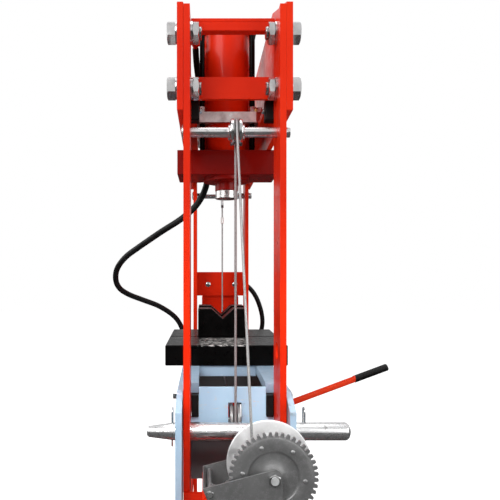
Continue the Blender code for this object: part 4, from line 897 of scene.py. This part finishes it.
def make_ropes():
    """Drum turns, the run over the pulley, both falls and the stretch under the bed."""
    turns = (pi - pi * i / 24 for i in range(25))
    over = [at(AXLE_X + PULLEY_LINE * cos(t), ROPE_Y, AXLE_Z + PULLEY_LINE * sin(t)) for t in turns]
    rope("winch_rope_laid", [rope_start(), *over], "frame", "winch_rope")
    for (side, name), top in zip(SIDES, FALL_TOPS):
        high, low = (at(side * FALL_X, ROPE_Y, z) for z in (top, FALL_BOTTOM))
        made = rope(f"{name}_fall_laid", [high, low], "frame", f"{name}_rope_fall")
        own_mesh(made)
    low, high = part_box("bed_rope")
    radius = high.z - low.z - ROPE_RADIUS
    left_x, right_x = low.x + ROPE_RADIUS + radius, high.x - ROPE_RADIUS - radius
    quarter = [pi / 2 * i / 16 for i in range(17)]
    left = [Vector((left_x - radius * cos(t), ROPE_Y, high.z - radius * sin(t)))
            for t in quarter]
    right = [Vector((right_x + radius * sin(t), ROPE_Y, high.z - radius * cos(t)))
             for t in quarter]
    rope("bed_rope_laid", left + right, "bed", "bed_rope")
    drum_turns()
    rope_tail()


def rope_start():
    """Where the rope leaves the drum: the first point of its straight run."""
    shaft = middle("winch_gear")
    return Vector((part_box("winch_rope")[0].x + ROPE_RADIUS, shaft.y + 0.0355, shaft.z))


def drum_turns():
    """Turns of rope wound on the drum between the gear and the rope's straight run."""
    shaft = middle("winch_gear")
    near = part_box("winch_gear")[1].x + 0.0040
    turns = int((rope_start().x - 0.0075 - near) / TURN_PITCH)
    points = []
    for i in range(turns * TURN_STEPS + 1):
        turn = 2 * pi * i / TURN_STEPS
        points.append(Vector((near + TURN_PITCH * i / TURN_STEPS,
                              shaft.y + DRUM_LINE * cos(turn), shaft.z + DRUM_LINE * sin(turn))))
    bm = bmesh.new()
    sweep(bm, points, strand_section(0.0029), 18)
    place_piece("drum_rope", bm, "steel_rope", "winch_drum", smooth=60)


def rope_tail():
    """The far rope's ferrule."""
    bm = bmesh.new()
    turned(bm, at(FALL_X, ROPE_Y, 0), "Z",
           [(0.0035, 1.350), (0.0056, 1.352), (0.0056, 1.374), (0.0035, 1.376)], 24)
    place_piece("rope_ferrule", bm, "mottled_zinc", "frame")


# ---- winch --------------------------------------------------------------------------------
GEAR_TEETH = 44
TOOTH_DEPTH = 0.0078
FIRST_TOOTH = -33.0         # degrees
GEAR_BORE = 0.0085
RIVET_CIRCLE = 0.061        # radius


def make_gear():
    """The large gear: teeth round a flat rim, a deep dish and six rivets."""
    low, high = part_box("winch_gear")
    centre = (low + high) / 2
    outer = (high.z - low.z) / 2
    start, end = low.x, high.x
    centre.x = 0.0
    tip, root = outer - 0.0001, outer - TOOTH_DEPTH
    first_tooth = radians(FIRST_TOOTH) + pi / GEAR_TEETH

    def toothed(turn):
        share = ((turn - first_tooth) * GEAR_TEETH / (2 * pi)) % 1.0
        offset = abs(share - 0.5) * 2
        rise = min(max((offset - 0.30) / 0.34, 0.0), 1.0)
        rise = rise * rise * (3 - 2 * rise)
        return root + (tip - root) * rise

    def eased(turn):
        return toothed(turn) - 0.0008

    steps = GEAR_TEETH * 16
    web = [
        (GEAR_BORE, start + 0.0030), (0.0180, start + 0.0030), (0.0215, start + 0.0056),
        (0.0440, start + 0.0060), (0.0478, start + 0.0048), (0.0500, start + 0.0012),
        (0.0520, start), (0.0745, start), (0.0765, start + 0.0006),
        (root - 0.0015, start + 0.0010),
    ]
    rings = [ring(centre, "X", r, place, steps) for r, place in web]
    for place, shape in ((start + 0.0006, eased), (start + 0.0016, toothed),
                         (end - 0.0010, toothed), (end - 0.0002, eased)):
        rings.append(ring(centre, "X", 0, place, steps, shape))
    rings.append(ring(centre, "X", GEAR_BORE, end - 0.0002, steps))
    bm = bmesh.new()
    bored(bm, rings)
    place_piece("winch_gear_pressed", bm, "cast_zinc", "winch_drum", "winch_gear",
                smooth=38)
    for i in range(6):
        turn = radians(7 + 60 * i)
        spot = centre + Vector((0, RIVET_CIRCLE * cos(turn), RIVET_CIRCLE * sin(turn)))
        bm = bmesh.new()
        turned(bm, spot, "X", [(0.0046, start - 0.0001), (0.0046, start - 0.0012),
                               (0.0036, start - 0.0022), (0.0016, start - 0.0027)], 24)
        place_piece(f"gear_rivet_{i}", bm, "cast_zinc", "winch_drum")


SHAFT_RADIUS = 0.008
DRUM_RADIUS = 0.032


def make_drum():
    """Shaft, drum and the wide smooth flange, turned."""
    low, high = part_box("winch_drum")
    radius = (high.z - low.z) / 2
    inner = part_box("winch_frame")[1].x - 0.003
    flange = inner - 0.022
    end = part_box("winch_gear")[1].x + 0.0003
    profile = [
        (SHAFT_RADIUS, low.x), (SHAFT_RADIUS, end), (DRUM_RADIUS, end),
        (DRUM_RADIUS, flange - 0.004), (radius - 0.004, flange - 0.004),
        (radius - 0.001, flange - 0.0033), (radius, flange - 0.0022), (radius - 0.0008, flange),
        (0.014, flange), (0.014, inner - 0.0003), (SHAFT_RADIUS, inner - 0.0003),
        (SHAFT_RADIUS, high.x - 0.001), (SHAFT_RADIUS - 0.001, high.x),
    ]
    bm = bmesh.new()
    turned(bm, shaft_line("winch_gear"), "X", profile, 128)
    place_piece("winch_drum_turned", bm, "bright_flange", "winch_drum", "winch_drum")


PAWL_Y = 0.056              # the pawl's pivot
PAWL_Z = 0.7275


def make_winch():
    """The winch's frame, crank, pawl and drum, with the nuts on its outer plate."""
    soften("winch_frame", "cast_zinc", 0.0012)
    for node in ("winch_crank", "winch_pawl"):
        soften(node, "cast_zinc", 0.0007)
    make_drum()
    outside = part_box("winch_frame")[0].x - 0.0005
    hex_nut("drum_shaft_nut", shaft_line("winch_gear"), "X", 0.022,
            outside, outside - 0.0075, "winch_drum")
    hex_nut("pawl_pin_nut", Vector((0.0, PAWL_Y, PAWL_Z)), "X", 0.014,
            outside, outside - 0.0062, "winch_pawl")


# ---- bed ----------------------------------------------------------------------------------
GUIDE_PAD = ((0.0118, 0.0100), (0.0800, 0.0968), (0.8085, 0.8606))  # X in and out, Y, Z
RAIL_BOLT = (0.0135, 0.862)     # X out from the bed's end, and Z


def make_bed():
    """Bed sides, ends and crossbars, with their guide pads, rail bolts and sheaves."""
    for node in ("bed_front_side", "bed_back_side", "bed_left_crossbar", "bed_right_crossbar"):
        soften(node, "blue_grey_paint", 0.0010)
    # the ends take the lighter copy of the blue-grey paint, which is painted light
    for node in ("bed_left_end", "bed_right_end"):
        soften(node, "bed_end_paint", 0.0010)
    for side, name in SIDES:
        low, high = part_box(f"bed_{name}_end")
        face_x = low.x if side < 0 else high.x
        for face, face_name in FACES:
            (back, out), reach_y, (bottom, top) = GUIDE_PAD
            x0, x1 = sorted((face_x - side * back, face_x + side * out))
            y0, y1 = sorted(face * y for y in reach_y)
            bm = bmesh.new()
            block(bm, (x0, y0, bottom), (x1, y1, top))
            place_piece(f"guide_pad_{name}_{face_name}", bm, "black_rubber", "bed", bevel=0.0018)
            bolt_x, bolt_z = RAIL_BOLT
            side_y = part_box("bed_back_side")[1].y
            head_on_washer(f"rail_bolt_{name}_{face_name}", "bed", "Y", 0.0155,
                           Vector((face_x + side * bolt_x, 0, bolt_z)),
                           [face * (side_y + d) for d in (0.0003, 0.002, 0.012)])
        soften(f"{name}_bed_sheave", "cast_zinc", 0.0006)


def make_pins():
    """Both bed pins and their wire clips."""
    for _, name in SIDES:
        soften(f"{name}_bed_pin", "drawn_zinc", 0.0012)
        for _, face_name in FACES:
            smooth_node(f"{name}_pin_{face_name}_clip", "zinc_plate")


def smooth_node(node, look):
    """The node's own solid, smooth-shaded."""
    source = frame["nodes"][node]
    bm = bmesh.new()
    bm.from_mesh(source.data)
    bmesh.ops.remove_doubles(bm, verts=bm.verts, dist=1e-6)
    place_piece(f"{node}_wire", bm, look, source["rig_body"], node, smooth=50)


# ---- carriage, plates and blocks ----------------------------------------------------------
def make_carriage():
    """The cylinder's carriage, barrel, tie rods and ram."""
    soften("carriage_block", "dark_red_paint", 0.0016)
    soften("carriage_plate", "mottled_zinc", 0.0010)
    soften("cylinder_barrel", "red_paint", 0.0012)
    soften("cylinder_tie_rods", "black_oxide", 0.0008)
    soften("ram", "bare_steel", 0.0010)
    make_carriage_trim()


def make_plates():
    """Press plates, the near one rubbed on top, and V-blocks."""
    for _, name in SIDES:
        soften(f"{name}_press_plate", "worn_plate" if name == "left" else "black_oxide", 0.0016)
        soften(f"{name}_v_block", "black_oxide", 0.0016)


# ---- pump ---------------------------------------------------------------------------------
PUMP_PLATE_X = 0.434
PUMP_BOLTS = (("front", -0.0545), ("back", 0.0525))


def make_pump():
    """The hand pump, its handle and the two bolts seen on its mounting plate."""
    soften("pump_tank", "red_paint", 0.0016)
    soften("pump_body", "red_paint", 0.0012)
    soften("pump_lever", "black_oxide", 0.0008)
    soften("pump_plunger", "bare_steel", 0.0006)
    soften("release_valve", "black_oxide", 0.0008)
    soften("pump_handle", "handle_paint", 0.0006)
    for name, y in PUMP_BOLTS:
        face = MID.x + PUMP_PLATE_X
        head_on_washer(f"pump_bolt_{name}", "frame", "X", 0.017, Vector((0.0, MID.y + y, 1.101)),
                       (face, face - 0.0018, face - 0.0095))


# ---- surroundings -------------------------------------------------------------------------
FLOOR_GREY = (0.62, 0.62, 0.62, 1)
FLOOR_SEEN_IN_METAL = (0.07, 0.07, 0.07, 1)
FLOOR_GLOW = 0.88           # to the camera only


def make_floor():
    """A pale floor that keeps the press's shadow and reads as white paper."""
    bm = bmesh.new()
    block(bm, (-14, -14, -0.02), (14, 14, -0.0005))
    mesh = bpy.data.meshes.new("floor")
    bm.to_mesh(mesh)
    bm.free()
    floor = bpy.data.objects.new("floor", mesh)
    bpy.context.scene.collection.objects.link(floor)
    material = bpy.data.materials.new("floor_paper")
    material.use_nodes = True
    tree = material.node_tree
    main = tree.nodes["Principled BSDF"]
    main.inputs["Roughness"].default_value = 0.9
    main.inputs["Specular IOR Level"].default_value = 0.0
    rays = tree.nodes.new("ShaderNodeLightPath")
    glow = tree.nodes.new("ShaderNodeEmission")
    glow.inputs["Color"].default_value = (1, 1, 1, 1)
    glow.inputs["Strength"].default_value = FLOOR_GLOW
    seen = tree.nodes.new("ShaderNodeMix")
    seen.data_type = "RGBA"
    seen.inputs[MIX_FIRST].default_value = FLOOR_GREY
    seen.inputs[MIX_SECOND].default_value = FLOOR_SEEN_IN_METAL
    tree.links.new(rays.outputs["Is Glossy Ray"], seen.inputs[MIX_SHARE])
    tree.links.new(seen.outputs[MIX_COLOUR], main.inputs["Base Color"])
    dark = tree.nodes.new("ShaderNodeBsdfTransparent")
    dark.inputs["Color"].default_value = (0, 0, 0, 1)
    pick = tree.nodes.new("ShaderNodeMixShader")
    total = tree.nodes.new("ShaderNodeAddShader")
    tree.links.new(rays.outputs["Is Camera Ray"], pick.inputs["Fac"])
    tree.links.new(dark.outputs["BSDF"], pick.inputs[1])
    tree.links.new(glow.outputs["Emission"], pick.inputs[2])
    tree.links.new(main.outputs["BSDF"], total.inputs[0])
    tree.links.new(pick.outputs["Shader"], total.inputs[1])
    tree.links.new(total.outputs["Shader"], tree.nodes["Material Output"].inputs["Surface"])
    mesh.materials.append(material)


# colours of the surroundings from straight down, 0, to straight up, 1
ROOM = (
    (0.0, (0.16, 0.15, 0.15)), (0.38, (0.05, 0.05, 0.05)), (0.485, (0.16, 0.14, 0.13)),
    (0.53, (0.46, 0.42, 0.40)), (0.64, (1.0, 1.0, 1.0)), (0.80, (0.42, 0.42, 0.43)),
    (1.0, (0.55, 0.55, 0.56)),
)
ROOM_IN_METAL = (
    (0.0, (0.03, 0.03, 0.03)), (0.46, (0.04, 0.04, 0.04)), (0.50, (0.20, 0.20, 0.20)),
    (0.56, (0.55, 0.55, 0.55)), (0.66, (1.0, 1.0, 1.0)), (0.80, (0.80, 0.80, 0.81)),
    (1.0, (0.70, 0.70, 0.71)),
)


def room_light(tree, height, stops, strength):
    """A background whose colour changes with height."""
    ramp = tree.nodes.new("ShaderNodeValToRGB")
    made = ramp.color_ramp.elements
    for element, (place, colour) in zip(made, (stops[0], stops[-1])):
        element.position, element.color = place, (*colour, 1)
    for place, colour in stops[1:-1]:
        made.new(place).color = (*colour, 1)
    light = tree.nodes.new("ShaderNodeBackground")
    light.inputs["Strength"].default_value = strength
    tree.links.new(height, ramp.inputs["Fac"])
    tree.links.new(ramp.outputs["Color"], light.inputs["Color"])
    return light.outputs["Background"]


def make_world():
    """White to the camera; a soft room, bright above and dim below, to everything else."""
    world = bpy.data.worlds.new("studio")
    bpy.context.scene.world = world
    world.use_nodes = True
    tree = world.node_tree
    tree.nodes.clear()
    place = tree.nodes.new("ShaderNodeTexCoord")
    split = tree.nodes.new("ShaderNodeSeparateXYZ")
    remap = tree.nodes.new("ShaderNodeMapRange")
    remap.inputs["From Min"].default_value = -1.0
    remap.inputs["From Max"].default_value = 1.0
    height = remap.outputs["Result"]
    paper = tree.nodes.new("ShaderNodeBackground")
    paper.inputs["Color"].default_value = (1, 1, 1, 1)
    paper.inputs["Strength"].default_value = 1.0
    sort = tree.nodes.new("ShaderNodeMixShader")
    rays = tree.nodes.new("ShaderNodeLightPath")
    pick = tree.nodes.new("ShaderNodeMixShader")
    out = tree.nodes.new("ShaderNodeOutputWorld")
    link = tree.links.new
    link(place.outputs["Generated"], split.inputs["Vector"])
    link(split.outputs["Z"], remap.inputs["Value"])
    link(rays.outputs["Is Glossy Ray"], sort.inputs["Fac"])
    link(room_light(tree, height, ROOM, 0.50), sort.inputs[1])
    link(room_light(tree, height, ROOM_IN_METAL, 0.95), sort.inputs[2])
    link(rays.outputs["Is Camera Ray"], pick.inputs["Fac"])
    link(sort.outputs["Shader"], pick.inputs[1])
    link(paper.outputs["Background"], pick.inputs[2])
    link(pick.outputs["Shader"], out.inputs["Surface"])


def make_light(name, place, target, size_m, watts):
    """A rectangular light that the camera doesn't see."""
    data = bpy.data.lights.new(name, "AREA")
    data.shape = "RECTANGLE"
    data.size, data.size_y = size_m
    data.energy = watts
    light = bpy.data.objects.new(name, data)
    bpy.context.scene.collection.objects.link(light)
    light.location = place
    light.rotation_mode = "QUATERNION"
    light.rotation_quaternion = (Vector(target) - Vector(place)).to_track_quat("-Z", "Y")
    light.visible_camera = False
    return light


def make_lights():
    """A key, two fills, a top light and a narrow one on the bed's near end."""
    target = at(0, 0, 1.1)
    make_light("key", at(-3.0, 2.4, 3.4), target, (2.6, 2.6), 135)
    make_light("front_fill", at(-2.8, -3.0, 2.0), target, (2.6, 2.6), 70)
    make_light("back_fill", at(0.4, 3.2, 2.2), target, (2.4, 2.4), 40)
    make_light("top", at(0.2, 0.0, 4.4), target, (3.0, 3.0), 60)
    bed_end = at(-0.45, 0.02, 0.84)
    bed_fill = make_light("bed_fill", at(-1.35, 0.04, 1.62), bed_end, (0.50, 0.30), 0.5)
    bed_fill.data.spread = radians(36)


# ---- build --------------------------------------------------------------------------------
SLOT_OF = {p["node"]: p["material_slot"] for p in frame["record"]["subparts"]}
LOOKS = make_materials()
make_camera()
make_world()
make_lights()
make_floor()
make_hose()
make_beam_bolts()
make_frame()
make_bumpers()
make_pulley()
make_ropes()
make_gear()
make_winch()
make_bed()
make_pins()
make_carriage()
make_plates()
make_pump()
for node_name, node_object in frame["nodes"].items():
    if not node_object.hide_render:
        node_object.data.materials.clear()
        node_object.data.materials.append(LOOKS[SLOT_OF[node_name]])

bpy.context.scene.view_settings.view_transform = "Standard"
